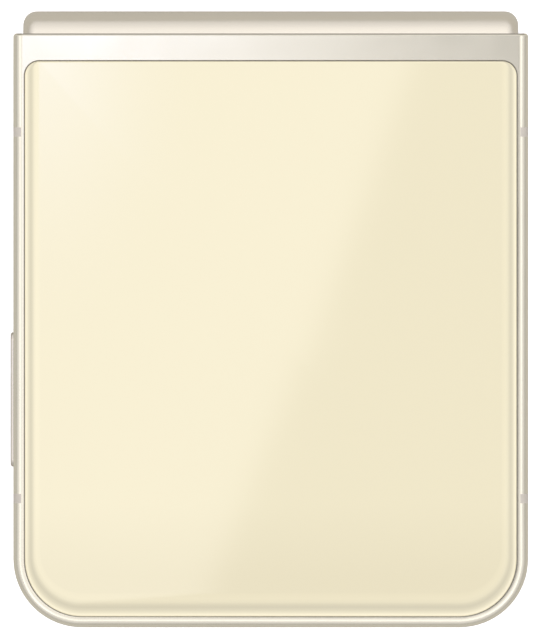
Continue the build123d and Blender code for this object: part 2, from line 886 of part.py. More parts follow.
with BuildPart() as hinge_frames:
    fill = spine_inner_radius - module_fit
    with BuildSketch(spine.offset(module_start)):
        trough(fill, module_top)
    extrude(amount=module_end - module_start)
    with BuildSketch(spine.offset(pack_wall_start)):
        trough(fill, module_top)
    extrude(amount=pack_wall)
    with BuildSketch(spine.offset(foot_start)):
        trough(fill, base_top)
    extrude(amount=module_start - foot_start)
    # curved tracks that the brackets' guide rails run in
    for centre, start in ((upper_centre, upper_rail_at), (lower_centre, lower_rail_at)):
        with BuildSketch(spine.offset(start)):
            with Locations(centre):
                Circle(rail_outer + rail_clearance)
                Circle(rail_inner - rail_clearance, mode=Mode.SUBTRACT)
        extrude(amount=rail_zone, mode=Mode.SUBTRACT)
    # room for the toothed arcs, and for the train of four gears between them
    for centre, start in ((upper_centre, upper_arc_at), (lower_centre, lower_arc_at)):
        with BuildSketch(spine.offset(start)):
            with Locations(centre):
                Circle(spine_inner_radius + rail_clearance)
        extrude(amount=arc_zone, mode=Mode.SUBTRACT)
    for place in range(4):
        rod(place, gear_tip + gear_pocket_clearance, train_at, train_at + arc_zone,
            Mode.SUBTRACT)
    # bearings
    rod(0, bearing_radius, foot_start, lower_rail_at, Mode.SUBTRACT)
    rod(3, bearing_radius, foot_start, lower_rail_at, Mode.SUBTRACT)
    rod(1, bearing_radius, upper_arc_at - module_wall, lower_arc_at + side_play, Mode.SUBTRACT)
    rod(2, bearing_radius, train_at - side_play, lower_rail_at, Mode.SUBTRACT)
    screw_holes(foot_plane(1), [(0, 0)], foot_screw_depth)
    mirror(about=Plane.YZ)
hinge_frames.part.label = "hinge_frames"
export_step(hinge_frames.part, "parts/hinge_frames.step")

with BuildPart() as spine_screws:
    for sign in (-1, 1):
        screws(foot_plane(sign), [(0, 0)], foot_screw_depth)
spine_screws.part.label = "spine_screws"
export_step(spine_screws.part, "parts/spine_screws.step")


def teeth(radius_root, radius_tip, half_root, half_tip, centre, angle):
    """One tooth as a tapered four-sided outline about a centre."""
    Polygon(polar(centre, radius_root, angle - half_root),
            polar(centre, radius_tip, angle - half_tip),
            polar(centre, radius_tip, angle + half_tip),
            polar(centre, radius_root, angle + half_root), align=None)


def gear_pair(name, place, start, stop, shaft_start, shaft_stop, collar):
    """One gear of the train in each hinge module, solid with its shaft."""
    with BuildPart() as gear:
        with BuildSketch(gear_plane(place, start)):
            RegularPolygon(gear_root + bearing_clearance, 2 * gear_teeth)
            for tooth in range(gear_teeth):
                teeth(gear_root, gear_tip, tooth_root_angle, tooth_tip_angle, (0, 0),
                      gear_phases[place] + tooth * gear_pitch)
        extrude(amount=stop - start)
        rod(place, shaft_radius, shaft_start, shaft_stop)
        if collar:
            rod(place, collar_radius, collar_at, collar_at + collar_length)
        mirror(about=Plane.YZ)
    gear.part.label = name
    export_step(gear.part, f"parts/{name}.step")


long_shaft = (pack_wall_start, lower_rail_at - side_play)
gear_pair("upper_outer_gears", 0, upper_arc_at + side_play, lower_arc_at - side_play,
          *long_shaft, True)
gear_pair("upper_inner_gears", 1, train_at + side_play, lower_arc_at - side_play,
          upper_arc_at - module_wall + side_play, lower_arc_at, False)
gear_pair("lower_inner_gears", 2, train_at + side_play, lower_arc_at - side_play,
          train_at, lower_rail_at - side_play, False)
gear_pair("lower_outer_gears", 3, train_at + side_play,
          lower_rail_at - module_wall - side_play, *long_shaft, True)

def cup(bottom, mode):
    """Frustum that narrows from a disc spring's rim to its bore."""
    rim_flat = spring_radius * cos(pi / small_sides)
    with BuildSketch(Plane.XY.offset(bottom)) as rim:
        RegularPolygon(spring_radius, small_sides)
    extrude(rim.sketch, amount=spring_rise,
            taper=degrees(atan2(rim_flat - bearing_radius, spring_rise)), mode=mode)


def disc_spring():
    """Disc spring that stands on its rim."""
    with BuildPart() as disc:
        with BuildSketch():
            RegularPolygon(spring_radius, small_sides)
        extrude(amount=spring_sheet)
        cup(spring_sheet, Mode.ADD)
        cup(0, Mode.SUBTRACT)
        with BuildSketch(Plane.XY.offset(spring_rise)):
            RegularPolygon(bearing_radius, small_sides, major_radius=False)
        extrude(amount=spring_sheet, mode=Mode.SUBTRACT)
    return disc.part


with BuildPart() as disc_springs:
    spring_height = spring_rise + spring_sheet
    for place in (0, 3):
        for count in range(spring_count):
            # stacked bore to bore and rim to rim, so that they push apart
            seat = gear_plane(place, collar_at + collar_length + spring_play
                              + count * (spring_height + spring_play))
            if count % 2 == 0:
                seat = Plane(origin=seat.offset(spring_height).origin, x_dir=seat.x_dir,
                             z_dir=-seat.z_dir)
            with Locations(seat):
                add(disc_spring())
    mirror(about=Plane.YZ)
disc_springs.part.label = "disc_springs"
export_step(disc_springs.part, "parts/disc_springs.step")

with BuildPart() as friction_washers:
    for place in (0, 3):
        rod(place, spring_radius, module_start - washer_thickness, module_start)
        rod(place, bearing_radius, module_start - washer_thickness, module_start,
            Mode.SUBTRACT)
    mirror(about=Plane.YZ)
friction_washers.part.label = "friction_washers"
export_step(friction_washers.part, "parts/friction_washers.step")

with BuildPart() as wiper_strips:
    wiper_half_length = pack_wall_start - wiper_end_gap
    with BuildSketch(spine.offset(-wiper_half_length)):
        trough(spine_inner_radius - module_fit, spine_mouth + wiper_gap)
        with Locations(upper_centre, lower_centre):
            Circle(spine_inner_radius - wiper_thickness, mode=Mode.SUBTRACT)
        with Locations((0, -spine_mouth - wiper_gap - wiper_height)):
            Rectangle(body_width, body_width, align=(Align.CENTER, Align.MAX),
                      mode=Mode.SUBTRACT)
    extrude(amount=2 * wiper_half_length)
wiper_strips.part.label = "wiper_strips"
export_step(wiper_strips.part, "parts/wiper_strips.step")


# ---------------------------------------------------------------- fold brackets
def tooth_arc(start, phase):
    """Toothed arc about the fold axis, its teeth pointing in, with a plain tail."""
    first = mesh_angle - 90 + close_lean - fold_travel - arc_overrun
    last = mesh_angle - 90 + close_lean + arc_overrun
    half_root = arc_pitch / 2 - gap_root_angle
    half_tip = arc_pitch / 2 - gap_mouth_angle
    lowest = ceil((first + half_root - phase) / arc_pitch - 0.5)
    highest = floor((last - half_root - phase) / arc_pitch - 0.5)
    with BuildSketch(start) as profile:
        arc_band(arc_root, arc_outer, arc_tail_angle, last)
        for tooth in range(lowest, highest + 1):
            teeth(arc_root + bearing_clearance, arc_tip, half_root, half_tip, fold_axis,
                  phase + (tooth + 0.5) * arc_pitch)
    extrude(profile.sketch, amount=arc_width)


def fold_brackets(name, half, rail_at, arc_at, phase):
    """Pair of brackets that join a half to the spine's hinge modules."""
    with BuildPart() as bracket:
        bottom, top = bracket_top, bracket_top + bracket_thickness
        block(half, module_start + bracket_margin, module_end - bracket_margin,
              bracket_start, bracket_end, bottom, top)
        block(half, rail_at + side_play, rail_at + side_play + rail_width,
              bracket_start - bracket_thickness, bracket_start, bottom, top)
        with BuildSketch(side_plane(half, rail_at + side_play)):
            arc_band(rail_inner, rail_outer, rail_start_angle, rail_stop_angle)
        extrude(amount=rail_width)
        tooth_arc(side_plane(half, arc_at + side_play), phase)
        mirror(about=Plane.YZ)
        with BuildSketch(half.offset(bracket_top)):
            with Locations(*bracket_places):
                RegularPolygon(screw_head_radius + screw_clearance, small_sides)
        extrude(amount=screw_head_height, mode=Mode.SUBTRACT)
        screw_holes(half.offset(bracket_top), bracket_places, bracket_thickness)
    bracket.part.label = name
    export_step(bracket.part, f"parts/{name}.step")


# a gap of each arc faces a tooth of the gear that it meshes with
gear_share = gear_teeth / arc_teeth
upper_gap = mesh_angle + (gear_phases[0] - mesh_angle) * gear_share
lower_gap = (180 - mesh_angle) + (gear_phases[3] - (180 - mesh_angle)) * gear_share
fold_brackets("upper_fold_brackets", upper, upper_rail_at, upper_arc_at,
              upper_gap - 90 + close_lean)
fold_brackets("lower_fold_brackets", lower, lower_rail_at, lower_arc_at,
              90 + close_lean - lower_gap)

for side, half in halves.items():
    with BuildPart() as fixings:
        screws(half.offset(bracket_top + screw_head_height), bracket_places,
               screw_depth + bracket_thickness - screw_head_height)
        screws(half.offset(board_top), board_screw_places[side], board_screw_depth, -1)
    fixings.part.label = f"{side}_screws"
    export_step(fixings.part, f"parts/{side}_screws.step")


# ---------------------------------------------------------------- keys and card tray
def side_key(name, length, centre, proud):
    """Key of the upper half: a pill through the rim, held by a flange behind it."""
    outer = -body_width / 2 - proud
    inner = -body_width / 2 + pocket_wall + key_wall_gap
    with BuildPart() as button:
        with BuildSketch(side_plane(upper, outer)):
            key_outline(length, centre, 0)
        extrude(amount=inner + key_flange - outer)
        face = button.faces().sort_by(Axis.X)[0]
        chamfer(face.edges(), length=key_chamfer)
        with BuildSketch(side_plane(upper, inner)):
            with Locations((centre, key_level)):
                Rectangle(length + 2 * key_flange_margin, key_height + 2 * key_flange_margin)
        extrude(amount=key_flange)
    button.part.label = name
    export_step(button.part, f"parts/{name}.step")


side_key("volume_key", volume_key_length, volume_key_centre, volume_key_proud)
side_key("side_key", side_key_length, side_key_centre, -side_key_sunk)

with BuildPart() as key_switches:
    dome_at = -body_width / 2 + pocket_wall + key_wall_gap + key_flange + switch_gap
    flex_start = side_key_centre - side_key_length / 2
    flex_end = volume_key_centre + volume_key_length / 2
    with BuildSketch(side_plane(upper, dome_at + switch_dome)):
        with Locations(((flex_start + flex_end) / 2, key_level)):
            Rectangle(flex_end - flex_start, key_height)
    extrude(amount=switch_sheet)
    with BuildSketch(side_plane(upper, dome_at)):
        with Locations((side_key_centre, key_level),
                       (volume_key_centre - volume_key_length / 3, key_level),
                       (volume_key_centre + volume_key_length / 3, key_level)):
            RegularPolygon(dome_radius, small_sides)
    extrude(amount=switch_dome)
key_switches.part.label = "key_switches"
export_step(key_switches.part, "parts/key_switches.step")

with BuildPart() as card_tray:
    with BuildSketch(side_plane(upper, body_width / 2)):
        with Locations((tray_centre, tray_level)):
            SlotOverall(tray_face_length, tray_face_height)
    extrude(amount=-tray_face_depth)
    with BuildSketch(side_plane(upper, body_width / 2 - tray_length)):
        with Locations((tray_centre, tray_level)):
            Rectangle(tray_width, tray_thickness)
    extrude(amount=tray_length - tray_face_depth)
    with BuildSketch(upper.offset(tray_level + tray_thickness / 2)):
        with Locations((body_width / 2 - tray_length + (card_length + card_width) / 2,
                        tray_centre)):
            Rectangle(card_length, card_width)
    extrude(amount=-card_depth, mode=Mode.SUBTRACT)
card_tray.part.label = "card_tray"
export_step(card_tray.part, "parts/card_tray.step")

with BuildPart() as card_reader:
    reader_outer_end = body_width / 2 - pocket_wall - key_wall_gap
    slot_top = tray_level + tray_thickness / 2 + key_clearance
    slot_bottom = tray_level - tray_thickness / 2 - key_clearance
    reach = tray_width / 2 + key_clearance
    block(upper, reader_inner_end - reader_wall, reader_outer_end,
          tray_centre - reach - reader_wall, tray_centre + reach + reader_wall,
          board_top, slot_top + reader_wall)
    with BuildSketch(upper.offset(slot_bottom)):
        patch(reader_inner_end, body_width / 2, tray_centre - reach, tray_centre + reach)
    extrude(amount=slot_top - slot_bottom, mode=Mode.SUBTRACT)
card_reader.part.label = "card_reader"
export_step(card_reader.part, "parts/card_reader.step")

# ---------------------------------------------------------------- cameras and flash
lens_radius = ring_outer - ring_wall
ring_top = half_thickness + ring_proud
with BuildPart() as camera_rings:
    with BuildSketch(upper.offset(glass_bottom)):
        with Locations(*camera_places):
            Circle(ring_outer)
            Circle(lens_radius, mode=Mode.SUBTRACT)
    extrude(amount=ring_top - glass_bottom)
    rims = camera_rings.faces().group_by(depth_axis(upper))[-1]
    chamfer(rims.edges().group_by(SortBy.RADIUS)[-1], length=ring_chamfer)
camera_rings.part.label = "camera_rings"
export_step(camera_rings.part, "parts/camera_rings.step")

with BuildPart() as camera_lenses:
    with BuildSketch(upper.offset(ring_top - lens_sunk - lens_thickness)):
        with Locations(*camera_places):
            Circle(lens_radius - screw_clearance)
    extrude(amount=lens_thickness)
camera_lenses.part.label = "camera_lenses"
export_step(camera_lenses.part, "parts/camera_lenses.step")

with BuildPart() as camera_modules:
    with BuildSketch(upper.offset(midplate_back)):
        with Locations(*camera_places):
            Rectangle(camera_body, camera_body)
        chamfer(vertices(), length=camera_body_corner)
    extrude(amount=camera_body_height)
    with BuildSketch(upper.offset(midplate_back)):
        with Locations(*camera_places):
            RegularPolygon(camera_barrel, barrel_sides)
    extrude(amount=ring_top - lens_sunk - lens_thickness - midplate_back - ring_clearance)
camera_modules.part.label = "camera_modules"
export_step(camera_modules.part, "parts/camera_modules.step")

with BuildPart() as flash:
    with BuildSketch(upper.offset(glass_bottom)):
        with Locations(flash_place):
            Circle(flash_radius)
    extrude(amount=-flash_height)
flash.part.label = "flash"
export_step(flash.part, "parts/flash.step")

with BuildPart() as front_camera:
    with BuildSketch(upper.offset(display_depth + glass_gap)):
        with Locations(front_camera_place):
            Circle(front_camera_barrel)
    extrude(amount=midplate_back - display_depth - glass_gap)
    with BuildSketch(upper.offset(midplate_back)):
        with Locations(front_camera_place):
            Rectangle(front_camera_width, front_camera_length)
    extrude(amount=glass_bottom - display_module_thickness - front_camera_gap - midplate_back)
front_camera.part.label = "front_camera"
export_step(front_camera.part, "parts/front_camera.step")


# ---------------------------------------------------------------- inside the halves
def plain_block(name, half, *sizes):
    """One simple inner piece: its plan, its two levels and its corner radius."""
    with BuildPart() as piece:
        block(half, *sizes)
    piece.part.label = name
    export_step(piece.part, f"parts/{name}.step")


battery_top = glass_bottom - battery_gap
end_row_top = glass_bottom - display_module_thickness - end_piece_gap
plain_block("upper_battery", upper, *upper_battery_plan, midplate_back, battery_top,
            battery_corner)
plain_block("main_battery", lower, *main_battery_plan, midplate_back, battery_top,
            battery_corner)
plain_block("cover_display", upper, *cover_display_plan,
            glass_bottom - display_module_thickness, glass_bottom, inner_corner)
plain_block("earpiece_speaker", upper, *earpiece_plan, midplate_back, end_row_top, inner_corner)
plain_block("vibration_motor", upper, *motor_plan, midplate_back, end_row_top, inner_corner)
plain_block("loudspeaker", lower, *loudspeaker_plan, midplate_back, battery_top, inner_corner)
plain_block("flex_cable", lower, *cable_plan, midplate_back, midplate_back + cable_thickness)

with BuildPart() as main_board:
    board_bottom = midplate_back + board_lift
    with BuildSketch(upper.offset(board_bottom)):
        for sides in main_board_plans:
            patch(*sides)
        with Locations(*camera_places):
            Rectangle(camera_body + 2 * board_notch_gap, camera_body + 2 * board_notch_gap,
                      mode=Mode.SUBTRACT)
    extrude(amount=board_thickness)
    screw_holes(upper.offset(board_bottom), board_screw_places["upper"], board_thickness)
main_board.part.label = "main_board"
export_step(main_board.part, "parts/main_board.step")

with BuildPart() as shield_cans:
    for sides in (main_can, arm_can):
        block(upper, *sides, board_top, board_top + can_height)
        with BuildSketch(upper.offset(board_top)):
            patch(*drawn_in(*sides, can_wall))
        extrude(amount=can_height - can_wall, mode=Mode.SUBTRACT)
shield_cans.part.label = "shield_cans"
export_step(shield_cans.part, "parts/shield_cans.step")

with BuildPart() as board_chips:
    for sides in chip_plans:
        block(upper, *sides, board_top, board_top + chip_height)
board_chips.part.label = "board_chips"
export_step(board_chips.part, "parts/board_chips.step")

for side, half in halves.items():
    with BuildPart() as magnets:
        edge = pocket_side - magnet_gap
        # the keys are on the low side of the upper half, which faces the lower half's high side
        for low, start in ((side == "upper", volume_key_centre + volume_key_length / 2
                            + key_magnet_gap),
                           (side == "lower", tray_centre - tray_width / 2
                            - tray_magnet_gap - magnet_length)):
            left = -edge if low else edge - magnet_width
            block(half, left, left + magnet_width, start, start + magnet_length,
                  midplate_back, midplate_back + magnet_height)
    magnets.part.label = f"{side}_magnets"
    export_step(magnets.part, f"parts/{side}_magnets.step")

with BuildPart() as charging_coil:
    with BuildSketch(lower.offset(glass_bottom - coil_gap)):
        with Locations(((main_battery_plan[0] + main_battery_plan[1]) / 2,
                        (main_battery_plan[2] + main_battery_plan[3]) / 2)):
            RegularPolygon(coil_outer, coil_sides)
            RegularPolygon(coil_inner, coil_sides, mode=Mode.SUBTRACT)
    extrude(amount=-coil_thickness)
charging_coil.part.label = "charging_coil"
export_step(charging_coil.part, "parts/charging_coil.step")

# ---------------------------------------------------------------- port and sub board
shell_end = port_depth - port_mouth_sunk
with BuildPart() as port_shell:
    with BuildSketch(end_plane(lower, -port_mouth_sunk)):
        with Locations((0, port_level)):
            SlotOverall(*port_outer)
    extrude(amount=shell_end)
    with BuildSketch(end_plane(lower, -port_mouth_sunk)):
        with Locations((0, port_level)):
            SlotOverall(port_width, port_height)
    extrude(amount=shell_end - port_wall, mode=Mode.SUBTRACT)
port_shell.part.label = "port_shell"
export_step(port_shell.part, "parts/port_shell.step")

with BuildPart() as port_tongue:
    with BuildSketch(end_plane(lower, -port_depth + port_wall)):
        with Locations((0, port_level)):
            Rectangle(tongue_width, tongue_thickness)
    extrude(amount=-tongue_length)
port_tongue.part.label = "port_tongue"
export_step(port_tongue.part, "parts/port_tongue.step")

with BuildPart() as sub_board:
    port_notch = port_outer[0] / 2 + board_notch_gap
    with BuildSketch(lower.offset(midplate_back + board_lift)):
        for sides in sub_board_plans:
            patch(*sides)
        with BuildSketch(mode=Mode.SUBTRACT):
            patch(-port_notch, port_notch, half_length - port_depth - board_notch_gap,
                  half_length)
    extrude(amount=board_thickness)
    screw_holes(lower.offset(midplate_back + board_lift), board_screw_places["lower"],
                board_thickness)
sub_board.part.label = "sub_board"
export_step(sub_board.part, "parts/sub_board.step")

plain_block("charging_chip", lower, *charging_chip_plan, board_top, board_top + chip_height)
plain_block("microphone", lower, microphone_across - microphone_width / 2,
            microphone_across + microphone_width / 2,
            pocket_end - microphone_gap - microphone_length, pocket_end - microphone_gap,
            board_top, board_top + chip_height)
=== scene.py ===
# %% [markdown]
# # Folding clamshell phone, closed, lying on its cover side
# The real phone is two thin aluminium halves with glass backs, a hinge in a round spine, and
# one display that bends across it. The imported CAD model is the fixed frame: it says where
# each piece is and how it moves. This script gives every node its finish, rebuilds the
# surfaces that carry the look (rolled glass, bending display, lenses) from worked-out
# profiles, and lights the phone from straight above the lower half's back glass.

# %% Frame, CAD box and record
import json
import math

import bmesh
import bpy
import numpy as np
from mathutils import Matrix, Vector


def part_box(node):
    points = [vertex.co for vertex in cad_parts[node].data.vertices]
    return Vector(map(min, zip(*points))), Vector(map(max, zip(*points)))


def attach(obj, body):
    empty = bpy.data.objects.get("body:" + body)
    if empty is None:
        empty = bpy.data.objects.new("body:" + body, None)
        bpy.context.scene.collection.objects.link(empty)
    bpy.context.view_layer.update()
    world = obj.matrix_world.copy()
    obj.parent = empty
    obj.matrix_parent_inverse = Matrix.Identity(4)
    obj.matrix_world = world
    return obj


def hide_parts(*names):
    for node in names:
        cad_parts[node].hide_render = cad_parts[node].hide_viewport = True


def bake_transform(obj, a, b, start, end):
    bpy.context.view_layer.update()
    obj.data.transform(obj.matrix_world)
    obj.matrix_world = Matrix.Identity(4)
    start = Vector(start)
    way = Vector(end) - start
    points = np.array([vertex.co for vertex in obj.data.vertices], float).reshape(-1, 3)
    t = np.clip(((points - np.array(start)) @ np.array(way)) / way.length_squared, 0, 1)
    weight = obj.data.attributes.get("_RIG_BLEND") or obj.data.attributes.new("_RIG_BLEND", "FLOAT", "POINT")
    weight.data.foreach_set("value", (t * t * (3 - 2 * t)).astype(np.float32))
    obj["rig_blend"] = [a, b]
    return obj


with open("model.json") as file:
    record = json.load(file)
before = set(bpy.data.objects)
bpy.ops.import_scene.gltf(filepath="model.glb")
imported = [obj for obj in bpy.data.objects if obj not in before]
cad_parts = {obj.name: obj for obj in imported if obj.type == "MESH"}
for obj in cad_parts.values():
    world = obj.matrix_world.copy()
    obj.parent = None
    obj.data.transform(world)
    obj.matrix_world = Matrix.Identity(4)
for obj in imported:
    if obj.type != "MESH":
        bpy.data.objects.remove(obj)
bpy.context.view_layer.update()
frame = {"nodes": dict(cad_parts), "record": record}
MM = 0.001
record = frame["record"]
joints = {j["name"]: j for j in record["behaviour"]["joints"]}


# %% [markdown]
# ## The half planes
# Each half of the phone is a slab of its own, and closed they lie a little out of parallel,
# because the hinge end is thicker than the open end. Every piece could be given in the row
# frame, but that lean would then have to be worked out for each. So each half is drawn in a
# plane of its own, as in the CAD: x across it, v away from the hinge edge, n outwards from
# the display side. The planes follow from the two fold axes, which the record gives, so
# nothing here is fitted by eye.

# %% Fold axes from the record's joints
# mm: a half's thickness, the body's width, the length with the spine, and how far the spine
# and the camera rings stand out
HALF, BODY_WIDTH, FOLDED_LENGTH = 6.9, 72.2, 86.4
SPINE_PROUD, RING_PROUD = 3.06, 0.3
upper_axis = np.array(joints["upper_fold"]["pos_m"]) / MM
lower_axis = np.array(joints["lower_fold"]["pos_m"]) / MM
apart = lower_axis - upper_axis
AXIS_REACH = float(np.linalg.norm(apart)) / 2
LEAN = math.atan2(-apart[1], apart[2])
# the phone lies on its camera rings, so the upper half's display side is this much above it
AXIS_DEPTH = HALF + RING_PROUD - upper_axis[2]
# a half turns by a right angle and the lean from closed to flat
FOLD = math.radians(90) + LEAN
print("lean, deg:", round(math.degrees(LEAN), 3))
print("axis reach and depth, mm:", round(AXIS_REACH, 3), round(AXIS_DEPTH, 3))


# %% A plane for each half
class Half:
    """A half's plane: its origin plus x, v and n times three unit vectors.

    The vector v points away from the hinge at the half's angle, n stands square to it, and
    x runs across, turned about for the half that faces the other way.
    """

    def __init__(self, axis, angle, outwards):
        self.v = np.array([0, -math.cos(angle), -math.sin(angle)])
        self.n = np.array([0, -math.sin(angle), math.cos(angle)]) * outwards
        self.x = np.array([-outwards, 0, 0])
        # the fold axis lies AXIS_REACH along the half and AXIS_DEPTH inside its display side
        self.origin = axis - self.v * AXIS_REACH - self.n * AXIS_DEPTH

    def place(self, x, v, n):
        """Row coordinates, in metres, of arrays of places in the half's plane, in mm."""
        x, v, n = np.broadcast_arrays(*(np.asarray(c, float) for c in (x, v, n)))
        return (self.origin + x[..., None] * self.x + v[..., None] * self.v
                + n[..., None] * self.n) * MM


upper = Half(upper_axis, 0.0, -1)
lower = Half(lower_axis, 2 * LEAN, 1)
print("outer side of the lower half at its hinge edge, mm:",
      (lower.place(0, 0, HALF) / MM).round(2))


# %% [markdown]
# ## Mesh tools
# A new surface could be drawn by hand or with one bmesh operator after another. Here it is
# worked out with numpy as a grid or rings of points, joined by quads, because an even grid
# gives even normals, which is what a gloss surface shows first.

# %% New pieces
def finish_mesh(mesh, sharp=None):
    """Normals outwards, smooth shading, and sharp edges above an angle in degrees."""
    work = bmesh.new()
    work.from_mesh(mesh)
    bmesh.ops.recalc_face_normals(work, faces=work.faces)
    for face in work.faces:
        face.smooth = True
    if sharp is not None:
        limit = math.radians(sharp)
        for edge in work.edges:
            edge.smooth = not (len(edge.link_faces) == 2 and edge.calc_face_angle() > limit)
    work.to_mesh(mesh)
    work.free()


def add_mesh(name, points, faces, body, material, sharp=None):
    """New smooth piece from points in metres and faces, riding on a body if any."""
    mesh = bpy.data.meshes.new(name)
    mesh.from_pydata(np.asarray(points, float).tolist(), [], faces)
    mesh.validate()
    mesh.update()
    piece = bpy.data.objects.new(name, mesh)
    bpy.context.scene.collection.objects.link(piece)
    finish_mesh(mesh, sharp)
    mesh.materials.append(material)
    if body:
        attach(piece, body)
    return piece


print("new pieces come from points, faces and a finish")

# %% Grids and outlines
SMALLEST_CORNER = 0.05


def strips(rows, columns):
    """Quads of a grid of rows by columns of points, each row closed into a ring.

    Each quad joins a point, the next in its row, and the two beside them in the next row.
    """
    row, column = np.meshgrid(np.arange(rows - 1), np.arange(columns), indexing="ij")
    following = (column + 1) % columns
    quads = np.stack([row * columns + column, row * columns + following,
                      (row + 1) * columns + following, (row + 1) * columns + column], -1)
    return quads.reshape(-1, 4).tolist()


def closed_rings(rows, columns):
    """Quads between rings of points, and one face over the first and the last ring."""
    last = (rows - 1) * columns
    return strips(rows, columns) + [list(range(columns)), list(range(last, last + columns))]


def outline(inset, start, end, width, corners, steps=20, ends=(1.0, 1.0)):
    """Rounded rectangle in a half's plane, drawn in by an inset, or by a share of it at an end.

    corners are the radii at the start and at the end, before the inset. Each corner is an arc
    of equal turns about its centre, radius times cosine and sine of the angle, so outlines of
    any inset have their points in step and can be joined into rings.
    """
    half_width = width / 2 - inset
    low, high = start + inset * ends[0], end - inset * ends[1]
    near, far = (max(r - inset, SMALLEST_CORNER) for r in corners)
    turn = np.linspace(0, math.pi / 2, steps)
    arcs = []
    for sign_x, level, radius, first in ((1, high, far, 0), (-1, high, far, 90),
                                         (-1, low, near, 180), (1, low, near, 270)):
        angle = turn + math.radians(first)
        sign_v = 1 if level == high else -1
        arcs.append(np.stack([sign_x * (half_width - radius) + radius * np.cos(angle),
                              level - sign_v * radius + radius * np.sin(angle)], -1))
    return np.concatenate(arcs)


print("a ring of four corners has", len(outline(0, 0, 10, 10, (1, 1))), "points")


# %% [markdown]
# ## Smooth copies of CAD nodes
# The CAD surfaces are exact but arrive as loose triangles, which a gloss finish shows as
# facets. Modelling them again would add nothing. A copy with its points merged and its
# normals weighted by face area keeps the exact shape and shades as one skin.

# %% Copy of a CAD node
node_body = {n: b for b, nodes in record["behaviour"]["bodies"].items() for n in nodes}
# metres: points nearer than this are one point, and edges shorter than this are none
ONE_POINT, NO_EDGE = 2e-7, 1e-8


def merged_copy(node, name, material, sharp=28):
    """Smooth-shaded copy of a CAD node with its loose triangles merged; it replaces the node.

    Normals are weighted by face area, so flats stay flat and a small chamfer that is softer
    than the sharp limit shades from one flat to the next, as a rounded edge does.
    """
    source = frame["nodes"][node]
    mesh = source.data.copy()
    mesh.name = name
    mesh.transform(source.matrix_world)
    work = bmesh.new()
    work.from_mesh(mesh)
    bmesh.ops.remove_doubles(work, verts=work.verts, dist=ONE_POINT)
    bmesh.ops.dissolve_degenerate(work, edges=work.edges, dist=NO_EDGE)
    work.to_mesh(mesh)
    work.free()
    for layer in [a for a in mesh.attributes if a.name.startswith("custom_normal")]:
        mesh.attributes.remove(layer)
    finish_mesh(mesh, sharp)
    mesh.materials.clear()
    mesh.materials.append(material)
    piece = bpy.data.objects.new(name, mesh)
    bpy.context.scene.collection.objects.link(piece)
    even = piece.modifiers.new("even_normals", "WEIGHTED_NORMAL")
    even.mode, even.keep_sharp = "FACE_AREA", True
    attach(piece, node_body[node])
    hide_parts(node)
    return piece


# %% [markdown]
# ## Tools for finishes
# A finish on the real phone is fine structure: blasting, brushing, moulded grain, smudges.
# Image textures could show it, but nodes in object coordinates stay sharp at any distance
# and stay put as parts move. Real sizes set their scales: bead-blast grain is about 0.06 mm,
# brushed lines are 0.05 mm apart, and smudges are 15 mm wide.

# %% Patterns
class Patterns:
    """Patterns in object coordinates, their sizes in millimetres."""

    def stretched(self, factors):
        """Object coordinates scaled by a factor along each axis."""
        mapping = self.node("ShaderNodeMapping")
        mapping.inputs["Scale"].default_value = factors
        self.link(self.place, mapping.inputs["Vector"])
        return mapping.outputs["Vector"]

    def noise(self, size_mm, detail=2.0, rough=0.5, vector=None):
        """Noise whose patches are about that size."""
        tex = self.node("ShaderNodeTexNoise")
        tex.inputs["Scale"].default_value = 1 / MM / size_mm
        tex.inputs["Detail"].default_value = detail
        tex.inputs["Roughness"].default_value = rough
        self.link(vector or self.place, tex.inputs["Vector"])
        return tex.outputs["Fac"]

    def cells(self, size_mm, feature="F1", vector=None):
        """Distance field of cells of about that size."""
        tex = self.node("ShaderNodeTexVoronoi", feature=feature)
        tex.inputs["Scale"].default_value = 1 / MM / size_mm
        self.link(vector or self.place, tex.inputs["Vector"])
        return tex.outputs["Distance"]

    def along_y(self):
        """The y of the object coordinates, in metres."""
        split = self.node("ShaderNodeSeparateXYZ")
        self.link(self.place, split.inputs["Vector"])
        return split.outputs["Y"]

    def attribute(self, name):
        """Number stored on the piece's own points."""
        return self.node("ShaderNodeAttribute", attribute_name=name).outputs["Fac"]


print("patterns ready")

# %% Numbers from patterns
# noise seldom leaves this range, so it is what a pattern is spread from
NOISE_LOW, NOISE_HIGH = 0.3, 0.7


class Numbers:
    """Numbers worked out from patterns."""

    def spread(self, value, low, high, from_low=NOISE_LOW, from_high=NOISE_HIGH):
        """A value mapped in a straight line from one range to another, clamped."""
        made = self.node("ShaderNodeMapRange")
        for key, number in (("From Min", from_low), ("From Max", from_high),
                            ("To Min", low), ("To Max", high)):
            made.inputs[key].default_value = number
        self.link(value, made.inputs["Value"])
        return made.outputs["Result"]

    def math(self, operation, a, b=None):
        """Maths node on sockets or numbers."""
        made = self.node("ShaderNodeMath", operation=operation)
        for index, value in enumerate((a, b)):
            if value is None:
                continue
            if isinstance(value, (int, float)):
                made.inputs[index].default_value = value
            else:
                self.link(value, made.inputs[index])
        return made.outputs["Value"]


print("noise is spread from", NOISE_LOW, "to", NOISE_HIGH)

# %% Colours from patterns
def color_sockets(mix):
    """The colour inputs A and B of a Mix node, and its colour result."""
    a, b = (next(i for i in mix.inputs if i.name == name and i.type == "RGBA")
            for name in ("A", "B"))
    return a, b, next(o for o in mix.outputs if o.type == "RGBA")


def fill_ramp(ramp, stops):
    """Give a colour ramp node stops of (position, colour), with straight lines between."""
    ramp.color_ramp.interpolation = "LINEAR"
    elements = ramp.color_ramp.elements
    while len(elements) < len(stops):
        elements.new(0.5)
    for element, (position, color) in zip(elements, stops):
        element.position = position
        element.color = (*color, 1.0)


